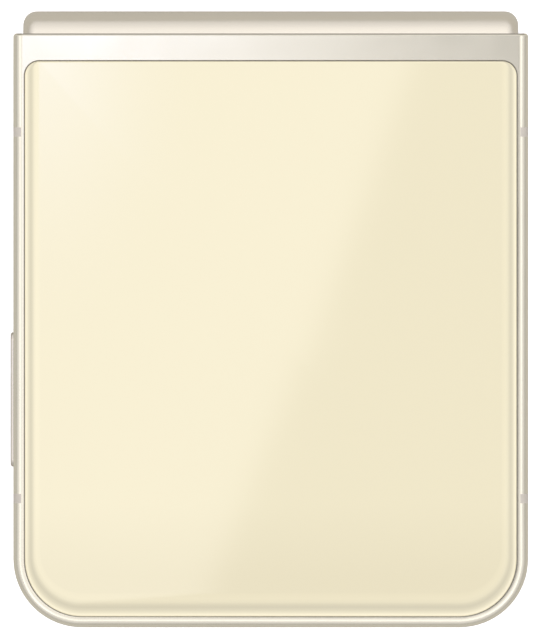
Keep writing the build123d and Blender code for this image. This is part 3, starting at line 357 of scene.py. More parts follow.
class Colors:
    """Colours worked out from patterns."""

    def blend(self, factor, color_a, color_b):
        """Mix of two colours, each a tuple or a socket: the first at 0 and the second at 1."""
        made = self.node("ShaderNodeMix", data_type="RGBA")
        self.link(factor, made.inputs["Factor"])
        socket_a, socket_b, result = color_sockets(made)
        for target, color in ((socket_a, color_a), (socket_b, color_b)):
            if isinstance(color, tuple):
                target.default_value = (*color, 1.0)
            else:
                self.link(color, target)
        return result

    def multiply(self, color_a, color_b):
        """Product of two colours."""
        made = self.node("ShaderNodeMix", data_type="RGBA", blend_type="MULTIPLY")
        made.inputs["Factor"].default_value = 1.0
        socket_a, socket_b, result = color_sockets(made)
        self.link(color_a, socket_a)
        self.link(color_b, socket_b)
        return result

    def ramp(self, factor, stops):
        """Colour ramp over stops of (position, colour)."""
        made = self.node("ShaderNodeValToRGB")
        fill_ramp(made, stops)
        self.link(factor, made.inputs["Fac"])
        return made.outputs["Color"]


print("colours can be blended, multiplied and ramped")

# %% A finish
class Finish(Patterns, Numbers, Colors):
    """A Principled material with short calls for the nodes that feed it."""

    def __init__(self, name, color, roughness, metallic=0.0, ior=1.5):
        self.material = bpy.data.materials.new(name)
        self.material.use_nodes = True
        self.tree = self.material.node_tree
        self.shader = self.tree.nodes["Principled BSDF"]
        self.set("Base Color", (*color, 1.0))
        self.set("Roughness", roughness)
        self.set("Metallic", metallic)
        self.set("IOR", ior)
        self.place = self.node("ShaderNodeTexCoord").outputs["Object"]

    def set(self, socket, value):
        """Give the shader's own socket a number or colour that is the same all over."""
        self.shader.inputs[socket].default_value = value

    def node(self, kind, **settings):
        """New node with its settings."""
        made = self.tree.nodes.new(kind)
        for key, value in settings.items():
            setattr(made, key, value)
        return made

    def link(self, out, into):
        """Join an output to an input."""
        self.tree.links.new(out, into)

    def into(self, out, socket):
        """Feed the shader's socket."""
        self.link(out, self.shader.inputs[socket])

    def bump(self, height, strength, depth_mm):
        """Bump of a height, its depth in millimetres."""
        made = self.node("ShaderNodeBump")
        made.inputs["Strength"].default_value = strength
        made.inputs["Distance"].default_value = depth_mm * MM
        self.link(height, made.inputs["Height"])
        self.into(made.outputs["Normal"], "Normal")


print("finishes feed a Principled shader")

# %% Shades, and finishes for CAD nodes
def shade(color, factor):
    """A colour darkened or lightened: each of its three numbers times a factor."""
    return tuple(c * factor for c in color)


def give_finish(node, material):
    """Put a material on a CAD node, whose mesh stays as it is."""
    materials = frame["nodes"][node].data.materials
    materials.clear()
    materials.append(material)


print("CAD nodes:", len(frame["nodes"]))


# %% [markdown]
# ## Metals
# The frames, spine and keys of such a phone are aluminium, blasted with beads and anodised;
# its hinge is steel, stamped or drawn; screws, springs and rings are polished. A plain metal
# shader would give the right colour but look like paint close up, so each gets its own
# grain, lines or marks, in tone, gloss and relief.

# %% Blasted metal
def blasted_metal(name, color, roughness=0.3, grain=0.06):
    """Anodised, bead-blasted aluminium: fine even grain, and soft clouds in tone and gloss.

    The tone is the colour times 0.985 to 1.01 by cloud, and up to a quarter of the way to a
    darker one by grain.
    """
    finish = Finish(name, color, roughness, metallic=1.0)
    grain_field = finish.noise(grain, detail=3.0, rough=0.6)
    cloud = finish.noise(9.0, detail=2.0)
    tone = finish.blend(finish.spread(cloud, 0.0, 1.0), shade(color, 0.985), shade(color, 1.01))
    finish.into(finish.blend(finish.spread(grain_field, 0.0, 0.25), tone, shade(color, 0.93)),
                "Base Color")
    finish.into(finish.spread(cloud, roughness - 0.02, roughness + 0.03), "Roughness")
    finish.bump(grain_field, strength=0.08, depth_mm=0.004)
    return finish.material


print("blasted metal ready")

# %% Brushed metal
# how much of the noise is left along the brushing, which draws it out into lines
BRUSHED = {"x": (0.04, 1.0, 1.0), "y": (1.0, 0.04, 1.0), "z": (1.0, 1.0, 0.04)}


def brushed_metal(name, color, roughness=0.32, along="x"):
    """Brushed or drawn metal: noise drawn out 25 times along one axis makes fine lines."""
    finish = Finish(name, color, roughness, metallic=1.0)
    lines = finish.noise(0.05, detail=3.0, vector=finish.stretched(BRUSHED[along]))
    finish.into(finish.blend(finish.spread(lines, 0.0, 1.0), shade(color, 0.86),
                             shade(color, 1.08)), "Base Color")
    finish.into(finish.spread(lines, roughness - 0.05, roughness + 0.08), "Roughness")
    finish.bump(lines, strength=0.15, depth_mm=0.004)
    return finish.material


print("brushed along", list(BRUSHED))

# %% Polished metal
def handling_marks(finish, low, high):
    """Faint handling marks: they move the roughness from low to high. Gives their noise."""
    marks = finish.noise(3.0, detail=4.0, rough=0.65)
    finish.into(finish.spread(marks, low, high), "Roughness")
    return marks


def polished_metal(name, color, roughness=0.14):
    """Polished metal with faint handling marks in gloss and tone."""
    finish = Finish(name, color, roughness, metallic=1.0)
    marks = handling_marks(finish, roughness - 0.02, roughness + 0.05)
    finish.into(finish.blend(finish.spread(marks, 0.0, 1.0), shade(color, 0.99),
                             shade(color, 1.01)), "Base Color")
    finish.bump(finish.noise(0.05), strength=0.02, depth_mm=0.002)
    return finish.material


print("polished metal ready")


# %% [markdown]
# ## Plastics, board and coil
# Antenna bands, bezels, bumpers and inner housings are moulded, and a mould leaves a fine
# spark-eroded grain. A board shows traces and pads under its green resist, and a charging
# coil shows its turns of wire. Modelled traces or wire would be far too small to see, so
# cells and rings in the finish stand for them.

# %% Moulded plastic
def moulded_plastic(name, color, roughness=0.5, grain=0.12, depth=0.006):
    """Moulded plastic, rubber or film: fine grain, with uneven tone and gloss."""
    finish = Finish(name, color, roughness)
    grain_field = finish.noise(grain, detail=3.0)
    tone = finish.spread(finish.noise(5.0, detail=2.0), 0.0, 1.0)
    finish.into(finish.blend(tone, shade(color, 0.94), shade(color, 1.05)), "Base Color")
    finish.into(finish.spread(grain_field, roughness - 0.06, roughness + 0.08), "Roughness")
    finish.bump(grain_field, strength=0.25, depth_mm=depth)
    return finish.material


print("moulded plastic ready")

# %% Board and coil
# mm: from one pad to the next, one trace to the next, and one turn of wire to the next
PAD_PITCH, TRACE_PITCH, WIRE_PITCH = 0.9, 1.6, 0.35


def circuit_board(name, color):
    """Solder resist over copper: round pads at cell centres, traces along cell borders."""
    finish = Finish(name, color, 0.35)
    pads = finish.spread(finish.cells(PAD_PITCH), 1.0, 0.0, 0.14, 0.17)
    traces = finish.spread(finish.cells(TRACE_PITCH, "DISTANCE_TO_EDGE"), 1.0, 0.0, 0.03, 0.05)
    board = finish.blend(traces, color, shade(color, 2.2))
    finish.into(finish.blend(pads, board, (0.75, 0.6, 0.3)), "Base Color")
    finish.into(pads, "Metallic")
    finish.bump(finish.math("MAXIMUM", pads, traces), strength=0.3, depth_mm=0.01)
    return finish.material


def wound_copper(name, centre):
    """Enamelled wire wound into a flat coil: the sine of the distance from its centre."""
    finish = Finish(name, (0.72, 0.35, 0.16), 0.3, metallic=1.0)
    moved = finish.node("ShaderNodeMapping")
    moved.inputs["Location"].default_value = tuple(-c for c in centre)
    finish.link(finish.place, moved.inputs["Vector"])
    length = finish.node("ShaderNodeVectorMath", operation="LENGTH")
    finish.link(moved.outputs["Vector"], length.inputs[0])
    rings = finish.math("SINE", finish.math("MULTIPLY", length.outputs["Value"],
                                            2 * math.pi / (WIRE_PITCH * MM)))
    wave = finish.spread(rings, 0.0, 1.0, -1.0, 1.0)
    finish.into(finish.blend(wave, (0.30, 0.12, 0.05), (0.85, 0.45, 0.22)), "Base Color")
    finish.bump(wave, strength=0.6, depth_mm=0.05)
    return finish.material


print("pads, traces and wire, mm apart:", PAD_PITCH, TRACE_PITCH, WIRE_PITCH)


# %% [markdown]
# ## Dark glass
# A display that is off and the window round the cameras are near black under clear gloss.
# What tells them from black plastic is a second, sharper layer of gloss and the smudges on
# it. The window's black print leaves a round opening for the flash, whose ringed lens and
# yellow phosphor show there. A hole in the glass would be wrong, because the glass runs on
# over it, so the opening is made in the print alone.

# %% Dark glass
# how far the sine runs from the flash lens's centre to its rim, in radians
LENS_RINGS = 28.0
# shares of the opening's radius over which the phosphor and the opening end
PHOSPHOR_END, OPENING_END = (0.42, 0.50), (0.95, 1.05)


def flash_opening(finish, ground, centre, radius):
    """Round gap in a printed ground, where the flash's ringed lens and phosphor show.

    The rings are the sine of the distance from the centre as a share of the radius.
    """
    away = finish.node("ShaderNodeVectorMath", operation="DISTANCE")
    finish.link(finish.place, away.inputs[0])
    away.inputs[1].default_value = tuple(float(c) for c in centre)
    share = finish.math("DIVIDE", away.outputs["Value"], radius * MM)
    rings = finish.spread(finish.math("SINE", finish.math("MULTIPLY", share, LENS_RINGS)),
                          0.0, 1.0, -1.0, 1.0)
    lens = finish.blend(rings, (0.55, 0.51, 0.38), (0.80, 0.76, 0.62))
    inside = finish.blend(finish.spread(share, 0.0, 1.0, *PHOSPHOR_END), (0.90, 0.76, 0.26),
                          lens)
    return finish.blend(finish.spread(share, 0.0, 1.0, *OPENING_END), inside, ground)


def dark_glass(name, flash=None):
    """Near black under gloss, with a faint violet sheen and smudges, and a flash if any."""
    finish = Finish(name, (0.006, 0.006, 0.008), 0.05)
    finish.set("Coat Weight", 1.0)
    finish.set("Coat Roughness", 0.04)
    smudges = finish.noise(14.0, detail=5.0, rough=0.6)
    finish.into(finish.spread(smudges, 0.05, 0.12), "Roughness")
    tone = finish.blend(finish.spread(smudges, 0.0, 1.0), (0.004, 0.004, 0.006),
                        (0.010, 0.009, 0.014))
    if flash:
        tone = flash_opening(finish, tone, *flash)
    finish.into(tone, "Base Color")
    finish.bump(finish.noise(22.0, detail=1.0), strength=0.03, depth_mm=0.02)
    return finish.material


off_display = dark_glass("display_off")
print("display finish:", off_display.name)


# %% [markdown]
# ## Finishes of this phone
# One for each kind of piece. The outer metals are a pale champagne. The spine's is a touch
# deeper as painted shade for the different light that falls on it, and the key's a touch
# deeper because it is anodised in another batch. Each could have its own colour from a list
# of hex codes, but here they are linear numbers, as the shader takes them.

# %% Outer metals and plastics
CHAMPAGNE = (0.817, 0.766, 0.658)
frame_metal = blasted_metal("champagne_frame", CHAMPAGNE, 0.21)
# the spine's champagne is a darker copy of the frames' as painted shade
spine_metal_shaded = blasted_metal("champagne_spine_shaded", (0.775, 0.715, 0.625), 0.24)
key_metal = blasted_metal("champagne_key", (0.70, 0.645, 0.595), 0.24)
sensor_metal = brushed_metal("sensor_key", (0.80, 0.75, 0.68), 0.28, along="y")
band_plastic = moulded_plastic("antenna_band", (0.57, 0.52, 0.465), 0.42, grain=0.05)
bezel_plastic = moulded_plastic("bezel_black", (0.018, 0.018, 0.020), 0.48, grain=0.08)
rubber = moulded_plastic("bumper_rubber", (0.025, 0.025, 0.026), 0.75, grain=0.05)
black_moulding = moulded_plastic("black_moulding", (0.020, 0.020, 0.022), 0.45)
print("outer finishes:", [m.name for m in (frame_metal, spine_metal_shaded, key_metal, sensor_metal,
                                           band_plastic, bezel_plastic, rubber,
                                           black_moulding)])

# %% Inner metals and films
thin_steel = brushed_metal("thin_steel", (0.60, 0.60, 0.61), 0.35)
hinge_steel = brushed_metal("hinge_steel", (0.50, 0.50, 0.51), 0.38)
gear_steel = brushed_metal("gear_steel", (0.58, 0.57, 0.56), 0.25)
spring_steel = polished_metal("spring_steel", (0.45, 0.43, 0.40), 0.22)
bronze = polished_metal("washer_bronze", (0.62, 0.44, 0.22), 0.25)
dark_steel = polished_metal("screw_steel", (0.16, 0.16, 0.165), 0.3)
brush_fibre = brushed_metal("brush_fibre", (0.05, 0.05, 0.05), 0.7, along="z")
tinned_steel = brushed_metal("tinned_steel", (0.72, 0.72, 0.71), 0.3, along="y")
nickel = polished_metal("magnet_nickel", (0.66, 0.65, 0.62), 0.18)
foil_wrap = moulded_plastic("battery_wrap", (0.035, 0.035, 0.038), 0.4, grain=1.5, depth=0.02)
board = circuit_board("circuit_board", (0.008, 0.045, 0.03))
polyimide = moulded_plastic("polyimide_film", (0.32, 0.13, 0.02), 0.3, grain=0.8)
print("inner finishes:", [m.name for m in (thin_steel, hinge_steel, gear_steel, spring_steel,
                                           bronze, dark_steel, brush_fibre, tinned_steel,
                                           nickel, foil_wrap, board, polyimide)])

# %% Finishes of the inner nodes
inner_finishes = {
    "upper_support_plate": thin_steel, "lower_support_plate": thin_steel,
    "hinge_frames": hinge_steel, "upper_fold_brackets": hinge_steel,
    "lower_fold_brackets": hinge_steel, "spine_screws": dark_steel,
    "upper_screws": dark_steel, "lower_screws": dark_steel,
    "upper_outer_gears": gear_steel, "upper_inner_gears": gear_steel,
    "lower_inner_gears": gear_steel, "lower_outer_gears": gear_steel,
    "disc_springs": spring_steel, "friction_washers": bronze, "wiper_strips": brush_fibre,
    "key_switches": polyimide, "card_reader": tinned_steel, "camera_modules": black_moulding,
    "front_camera": black_moulding, "upper_battery": foil_wrap, "main_battery": foil_wrap,
    "cover_display": off_display, "earpiece_speaker": black_moulding,
    "vibration_motor": tinned_steel, "loudspeaker": black_moulding, "flex_cable": polyimide,
    "main_board": board, "sub_board": board, "shield_cans": tinned_steel,
    "board_chips": black_moulding, "charging_chip": black_moulding,
    "microphone": tinned_steel, "upper_magnets": nickel, "lower_magnets": nickel,
    "port_tongue": black_moulding,
}
for node, material in inner_finishes.items():
    give_finish(node, material)
coil_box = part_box("charging_coil")
coil_centre = [(a + b) / 2 for a, b in zip(*coil_box)]
give_finish("charging_coil", wound_copper("coil_copper", coil_centre))
print("finishes on", len(inner_finishes) + 1, "inner nodes")


# %% [markdown]
# ## Metal shells
# The frames are milled from aluminium, blasted and anodised. The chamfer along a frame's
# hinge edge is cut after that, so it is polished, and its colour is painted shade at its brink
# and a painted highlight at its lip. Painting it as a line would slide off the edge, so it is
# given to the chamfer's own faces, found by where they are and how they slope, and its painted
# tone runs across them by distance.

# %% Hinge-edge chamfer
# mm: where the chamfer begins from the hinge edge, how wide it is, and how deep it reaches
HINGE_EDGE, EDGE_CUT, EDGE_REACH = 0.04, 0.30, 1.0
# cosines between which a face's normal leans from the outward one: 60 and 26 degrees
CHAMFER_SLOPES = (0.5, 0.9)
# (share of the chamfer from its brink, tone): painted shade at the brink, painted highlight at the lip
EDGE_SHADE_TONES = [(0.0, 0.42), (0.45, 0.62), (0.75, 1.12), (1.0, 1.15)]


def painted_edge_metal(half):
    """Polished chamfer, whose painted shade and highlight follow the distance from its brink along y."""
    finish = Finish("shade_painted_edge", CHAMPAGNE, 0.16, metallic=1.0)
    brink = half.place(0, HINGE_EDGE, HALF)[1]
    across = finish.spread(finish.along_y(), 0.0, 1.0, brink, brink - EDGE_CUT * MM)
    stops = [(share, shade(CHAMPAGNE, tone)) for share, tone in EDGE_SHADE_TONES]
    # painted shade darkens the chamfer at its brink and a painted highlight brightens its lip
    finish.into(finish.ramp(across, stops), "Base Color")
    handling_marks(finish, 0.14, 0.20)
    return finish.material


def shade_painted_edge(piece, half):
    """Give the faces of the hinge-edge chamfer the polished metal with painted shade and highlight, and
    sharp borders.
    """
    piece.data.materials.append(painted_edge_metal(half))
    zero = half.place(0, 0, 0)
    work = bmesh.new()
    work.from_mesh(piece.data)
    cut = []
    for face in work.faces:
        place = np.array(face.calc_center_median()) - zero
        along, outwards = place @ half.v / MM, place @ half.n / MM
        slope = np.array(face.normal) @ half.n
        on_edge = along < HINGE_EDGE + EDGE_CUT and outwards > HALF - EDGE_REACH
        if on_edge and CHAMFER_SLOPES[0] < slope < CHAMFER_SLOPES[1]:
            face.material_index = 1
            cut.append(face)
    for face in cut:
        for edge in face.edges:
            edge.smooth = all(f.material_index == 1 for f in edge.link_faces)
    print("faces of the chamfer of", piece.name, len(cut))
    work.to_mesh(piece.data)
    work.free()


print("chamfer, mm wide:", EDGE_CUT)

# %% [markdown]
# The spine cover is a bent metal shell. Its outside is blasted like the frames, and its
# inside, which shows through the thin gaps beside it, is black as painted shade for
# those gaps. The faces whose normals point into the phone are the inside.

# %% Two finishes on one piece
def face_vectors(mesh, field):
    """A vector of each face, such as its normal or its center, as an array."""
    numbers = np.empty(3 * len(mesh.polygons), np.float32)
    mesh.polygons.foreach_get(field, numbers)
    return numbers.reshape(-1, 3).astype(float)


def second_finish(piece, chosen, material):
    """Give the chosen faces of a piece a second finish."""
    piece.data.materials.append(material)
    piece.data.polygons.foreach_set("material_index", chosen.astype(np.int32))


print("a piece can carry a second finish")

# %% Spine cover's inside
spine_up = np.array([0, -math.sin(LEAN), math.cos(LEAN)])
spine_in = np.array([0, -math.cos(LEAN), -math.sin(LEAN)])
# cosine of the widest angle to the inward direction that still counts as inside
INSIDE_SLOPE = 0.5


def shade_spine_inside(piece):
    """Give the spine cover's faces that look inwards a black finish as painted shade."""
    inside = face_vectors(piece.data, "normal") @ spine_in > INSIDE_SLOPE
    # the black on the inside is painted shade for the gaps beside the spine
    second_finish(piece, inside, black_moulding)
    print("faces of the spine cover's inside:", int(inside.sum()))


print("inwards from the spine:", spine_in.round(4))

# %% Shells, bands, keys, bezels and flat displays
# degrees above which an edge stays sharp: rounded metal is softer than moulded pieces
METAL_SHARP, MOULDED_SHARP = 50, 30
metal_shells = {
    "lower_frame": frame_metal, "upper_frame": frame_metal, "spine_cover": spine_metal_shaded,
    "volume_key": key_metal, "side_key": sensor_metal, "card_tray": frame_metal,
}
moulded_shells = {
    "lower_antenna_bands": band_plastic, "upper_antenna_bands": band_plastic,
    "upper_bezel": bezel_plastic, "lower_bezel": bezel_plastic,
    "upper_bumpers": rubber, "lower_bumpers": rubber,
    "display_lower": off_display, "display_upper": off_display,
}
cut_edges = {"lower_frame": lower, "upper_frame": upper}
for node, material in {**metal_shells, **moulded_shells}.items():
    sharp = METAL_SHARP if node in metal_shells else MOULDED_SHARP
    piece = merged_copy(node, node + "_shell", material, sharp=sharp)
    if node in cut_edges:
        shade_painted_edge(piece, cut_edges[node])
    if node == "spine_cover":
        shade_spine_inside(piece)
    print(piece.name, len(piece.data.polygons))


# %% [markdown]
# ## Outer glass
# The back is a flat glass whose edge rolls down to the frame, over a cream film, in a groove.
# A thin dark bead fills the groove, and its dark colour is painted shade for the gap between
# glass and frame. A bevel on a flat slab would end in a hard line where it meets the flat. The
# roll is a quarter of an ellipse instead, steep at the rim and dying out into the flat, so that
# its reflections crowd near the edge. Rings of points drawn in step by step from the glass's
# outline make it.

# %% Profile of the rolled glass
# mm: where the glass begins, its corner radii there and at the open end, its insets
GLASS_START, GLASS_CORNERS = 3.90, (2.1, 8.05)
SIDE_INSET, FAR_INSET = 1.63, 1.56
HALF_LENGTH = FOLDED_LENGTH - SPINE_PROUD
# the glass lies a hair under the CAD's, since its flat reaches nearer to the raised hinge edge
GLASS_TOP, ROLL_DROP, ROLL_WIDTH = HALF - 0.026, 0.40, 2.2
# the roll dies out at once towards the hinge and slowly towards the open end
ROLL_ENDS = (0.10, 1.55)
# the dark bead of painted gap shade outside the glass: insets and levels of its rings, and the level where
# glass begins
BEAD_INSETS, BEAD_LEVELS, BEAD_TOP = (-0.16, -0.16, 0.0, 0.0), (6.25, 6.40, 6.44, 6.46), 6.48


def glass_rings(steps=24):
    """Insets and levels of the glass's rings, from its rim to where the roll dies out.

    With u running from 1 at the rim to 0 where the roll dies out, the level is the flat's
    less the drop times one minus the root of one less u squared.
    """
    u = np.cos(np.linspace(0, math.pi / 2, steps))
    return ROLL_WIDTH * (1 - u), GLASS_TOP - ROLL_DROP * (1 - np.sqrt(1 - u ** 2))


print("rings of the roll:", len(glass_rings()[0]))

# %% Rolled panel
def glass_panel(name, half, body, materials):
    """Rolled glass panel of a half, in a thin dark bead of painted gap shade that fills its groove.

    Each point's distance from the rim is stored on it.
    """
    insets, levels = glass_rings()
    insets = np.concatenate([BEAD_INSETS, insets])
    levels = np.concatenate([BEAD_LEVELS, levels])
    rings = [outline(inset, GLASS_START, HALF_LENGTH - FAR_INSET,
                     BODY_WIDTH - 2 * SIDE_INSET, GLASS_CORNERS,
                     ends=ROLL_ENDS if inset > 0 else (1.0, 1.0)) for inset in insets]
    columns = len(rings[0])
    points = np.concatenate([half.place(r[:, 0], r[:, 1], n) for r, n in zip(rings, levels)])
    faces = closed_rings(len(rings), columns)
    piece = add_mesh(name, points, faces, body, materials[0], sharp=70)
    rim = piece.data.attributes.new("rim_distance", "FLOAT", "POINT")
    rim.data.foreach_set("value", np.repeat(np.maximum(insets, 0), columns).astype(np.float32))
    face_levels = (face_vectors(piece.data, "center") - half.place(0, 0, 0)) @ half.n / MM
    second_finish(piece, face_levels < BEAD_TOP, materials[1])
    return piece


print("bead, mm outside the glass:", -BEAD_INSETS[0])

# %% [markdown]
# Through clear glass one sees the film, and under the roll one sees it at a slant: bright at
# the very rim, darker where the roll is steepest, and even on the flat. A clear slab over a
# second surface would show this by refraction, but slowly and with noise. So the film's colour
# carries a painted highlight at the rim and painted shade where the roll is steepest, tied to
# the distance from the rim that each point carries, and a clear coat gives the gloss.

# %% Cream film under glass
CREAM = (0.805, 0.736, 0.534)
# the glass is darker towards the open end, as painted shade for the light that falls off there, between
# these places along y, in mm
SHADE_FALL_START, SHADE_FALL_END = -26.0, -36.0
OPEN_END_SHADE_TONE = (0.945, 0.94, 0.935)
# (distance from the rim in mm, tone: painted highlight at the rim, painted shade on the roll)
RIM_SHADE_TONES = [(0.0, 1.12), (0.14, 1.18), (0.34, 1.0), (0.58, 0.85), (0.84, 0.77), (1.05, 0.84),
             (1.30, 0.98), (1.60, 1.04), (2.0, 1.025), (2.19, 1.0)]


def film_backed_glass(name, film):
    """Clear glass over a printed film.

    The colour is the film's tone with painted highlight and painted shade by distance from
    the rim, times painted shade darker towards the open end along y, times faint clouds.
    """
    finish = Finish(name, film, 0.055)
    finish.set("Coat Weight", 1.0)
    finish.set("Coat Roughness", 0.050)
    # painted highlight and painted shade of the roll, by distance from the rim
    stops = [(distance / ROLL_WIDTH, shade(film, tone)) for distance, tone in RIM_SHADE_TONES]
    rim = finish.math("DIVIDE", finish.attribute("rim_distance"), ROLL_WIDTH)
    # painted shade, darker towards the open end
    open_end_shading = finish.spread(finish.along_y(), 0.0, 1.0, SHADE_FALL_START * MM, SHADE_FALL_END * MM)
    painted_film_tone = finish.multiply(finish.ramp(rim, stops),
                                finish.blend(open_end_shading, (1.0, 1.0, 1.0), OPEN_END_SHADE_TONE))
    cloud = finish.noise(25.0, detail=2.0)
    clouded = finish.blend(finish.spread(cloud, 0.0, 1.0), (0.995, 0.995, 0.995),
                           (1.0, 1.0, 1.0))
    finish.into(finish.multiply(painted_film_tone, clouded), "Base Color")
    smudge = finish.noise(16.0, detail=5.0, rough=0.62)
    finish.into(finish.spread(smudge, 0.045, 0.062), "Roughness")
    finish.bump(finish.noise(30.0, detail=1.0), strength=0.02, depth_mm=0.02)
    return finish.material


cream_glass = film_backed_glass("cream_glass", CREAM)
# the bead's dark colour is painted shade for the gap between glass and frame
gap_shade_bead = moulded_plastic("painted_gap_shade_bead", (0.27, 0.25, 0.215), 0.6, grain=0.05)
back_glass = glass_panel("back_glass_panel", lower, "lower_half", (cream_glass, gap_shade_bead))
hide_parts("back_glass")
print("back glass faces:", len(back_glass.data.polygons))


# %% [markdown]
# ## Cover side
# Cream glass and black window meet in one seam and share one rolled outline. They could be
# worked out like the back glass, but the seam and the lens holes are already cut in the CAD,
# so both keep that form, and each camera ring is a polished trim round its hole.

# %% Cover side
cover_cream = Finish("cream_cover", CREAM, 0.07)
cover_cream.into(cover_cream.spread(cover_cream.noise(16.0, detail=5.0), 0.06, 0.10),
                 "Roughness")
cover_cream.bump(cover_cream.noise(30.0, detail=1.0), strength=0.02, depth_mm=0.02)
# mm: where the black print is left out over the flash, and how far round it
FLASH_CENTRE, FLASH_RADIUS = (-18.6, 62.3), 1.5
black_glass = dark_glass("black_window",
                         flash=(upper.place(*FLASH_CENTRE, HALF), FLASH_RADIUS))
ring_metal = polished_metal("ring_metal", (0.78, 0.74, 0.66), 0.12)
cover_pieces = [
    merged_copy("cover_glass", "cover_glass_panel", cover_cream.material, sharp=20),
    merged_copy("cover_window", "cover_window_panel", black_glass, sharp=20),
    merged_copy("camera_rings", "camera_ring_trim", ring_metal, sharp=30),
]
print("cover side:", [piece.name for piece in cover_pieces])


# %% [markdown]
# ## Lenses
# A phone camera's look is its depth: a flat cover glass, a stepped black barrel that narrows
# inwards, and a small domed front element. A dark disc would look printed. Each of the three
# is a profile turned about the lens axis, which also gives round steps for the light to
# catch.

# %% Turned pieces
# points round a turned piece, and how far round its quarter a dome runs, short of a pole
TURN_STEPS, DOME_SHARE = 64, 0.98


def turned(name, half, centre, profile, body, material, steps=TURN_STEPS, sharp=25):
    """Surface of revolution about an axis out of a half, from (radius, level) points.

    A point is the centre plus its radius times the cosine and sine of the turn.
    """
    profile = np.asarray(profile, float)
    turn = np.linspace(0, 2 * math.pi, steps, endpoint=False)
    x = centre[0] + profile[:, :1] * np.cos(turn)
    v = centre[1] + profile[:, :1] * np.sin(turn)
    n = np.repeat(profile[:, 1:], steps, axis=1)
    points = half.place(x, v, n).reshape(-1, 3)
    faces = closed_rings(len(profile), steps)
    return add_mesh(name, points, faces, body, material, sharp)


def dome(radius, height, level, steps=10):
    """Profile of a shallow dome, from its rim to just short of its top.

    The radius goes with the cosine of an angle, and the level with its sine.
    """
    angle = np.linspace(0, math.pi / 2 * DOME_SHARE, steps)
    return [(radius * math.cos(a), level + height * math.sin(a)) for a in angle]


print("points round a turned piece:", TURN_STEPS)

# %% Lens finishes
clear_lens = Finish("lens_cover", (1.0, 1.0, 1.0), 0.01, ior=1.5)
clear_lens.set("Transmission Weight", 1.0)
coated = Finish("coated_element", (0.012, 0.016, 0.05), 0.03, ior=1.7)
coated.set("Coat Weight", 1.0)
coated.set("Coat Tint", (0.55, 0.6, 1.0, 1.0))
coated.into(coated.blend(coated.node("ShaderNodeLayerWeight").outputs["Facing"],
                         (0.01, 0.02, 0.07), (0.05, 0.01, 0.05)), "Base Color")
coated.into(coated.spread(coated.noise(0.8), 0.02, 0.05), "Roughness")
barrel_black = moulded_plastic("lens_barrel", (0.008, 0.008, 0.009), 0.35, grain=0.05)
print("lens finishes: cover, element, barrel")

# %% Lens profiles and pieces
# mm: the lenses' centres in the half's plane, the cover's radius, and its top below the ring's
CAMERA_CENTRES = ((-26.6, 62.3), (-26.6, 74.7))
LENS_RADIUS, LENS_TOP = 4.28, HALF + RING_PROUD - 0.15
# (radius, depth below the top) of each profile
COVER_PROFILE = [(LENS_RADIUS - 0.01, 0.5), (LENS_RADIUS - 0.01, 0.04), (LENS_RADIUS - 0.05, 0),
                 (0.01, 0), (0.01, 0.5)]
BARREL_PROFILE = [(LENS_RADIUS - 0.02, 0.95), (LENS_RADIUS - 0.02, 0.52), (3.7, 0.52),
                  (3.62, 0.60), (3.1, 0.60), (3.04, 0.72), (2.35, 0.72), (2.30, 0.82),
                  (1.75, 0.82), (1.72, 0.95)]
ELEMENT_RADIUS, ELEMENT_RISE, ELEMENT_DEPTH = 1.70, 0.32, 0.95
cover, barrel = ([(radius, LENS_TOP - depth) for radius, depth in profile]
                 for profile in (COVER_PROFILE, BARREL_PROFILE))
element_level = LENS_TOP - ELEMENT_DEPTH
element = dome(ELEMENT_RADIUS, ELEMENT_RISE, element_level) + [(0.01, element_level)]
for index, centre in enumerate(CAMERA_CENTRES):
    for part, profile, material in (("cover", cover, clear_lens.material),
                                    ("barrel", barrel, barrel_black),
                                    ("element", element, coated.material)):
        turned(f"camera_{index + 1}_{part}", upper, centre, profile,
                                  "upper_half", material)
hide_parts("camera_lenses")


# %% [markdown]
# ## Flash
# The flash is a square of yellow phosphor behind the window. It is too deep for its small
# grains to be modelled, so cells about 0.2 mm wide in colour and relief stand for them.

# %% Flash
phosphor = Finish("flash_phosphor", (0.92, 0.80, 0.30), 0.35)
cell = phosphor.spread(phosphor.cells(0.22), 0.0, 1.0, 0.05, 0.4)
phosphor.into(phosphor.blend(cell, (0.95, 0.85, 0.38), (0.80, 0.62, 0.16)), "Base Color")
phosphor.bump(cell, strength=0.4, depth_mm=0.02)
give_finish("flash", phosphor.material)
print("flash finish:", phosphor.material.name)


# %% [markdown]
# ## Folding display
# The middle of the display bends about both fold axes. It is two sheets, each bending between
# a half and the spine. Their rest curve is worked backwards from the flat sheet: a point that
# lies flat when open is turned back about its axis by its share of the fold, and the share is
# found so that it is the one the bend gives to that place. A circular bend would look alike
# when closed but wouldn't open flat.

# %% The spine's plane
spine_origin = upper_axis + spine_up * AXIS_REACH + spine_in * AXIS_DEPTH


def spine_place(u, w, across):
    """Row coordinates, in metres, of places in the spine's plane, in mm.

    A place is the spine's origin plus u upwards, w inwards and across along x.
    """
    u, w, across = np.broadcast_arrays(*(np.asarray(c, float) for c in (u, w, across)))
    return (spine_origin + u[..., None] * spine_up + w[..., None] * spine_in
            + across[..., None] * np.array([1.0, 0, 0])) * MM


print("spine's origin, mm:", spine_origin.round(3))

# %% Rest curve of the display
# mm: depths of the sheet's face, back and neutral layer, half its width, the inner radius of
# the bend, and how far the sheet starts before the bend, under the flat part
SHEET_FACE, SHEET_BACK, NEUTRAL, SHEET_HALF_WIDTH = 0.35, 0.95, 0.65, 34.3
BEND_RADIUS, SHEET_LAP = 1.65, 0.05
DISPLAY_START = (BEND_RADIUS + NEUTRAL) * math.pi / 2
FOLD_AXIS = np.array([-AXIS_REACH, -AXIS_DEPTH])
# each halving step gives one more binary digit of the share
HALVINGS = 40


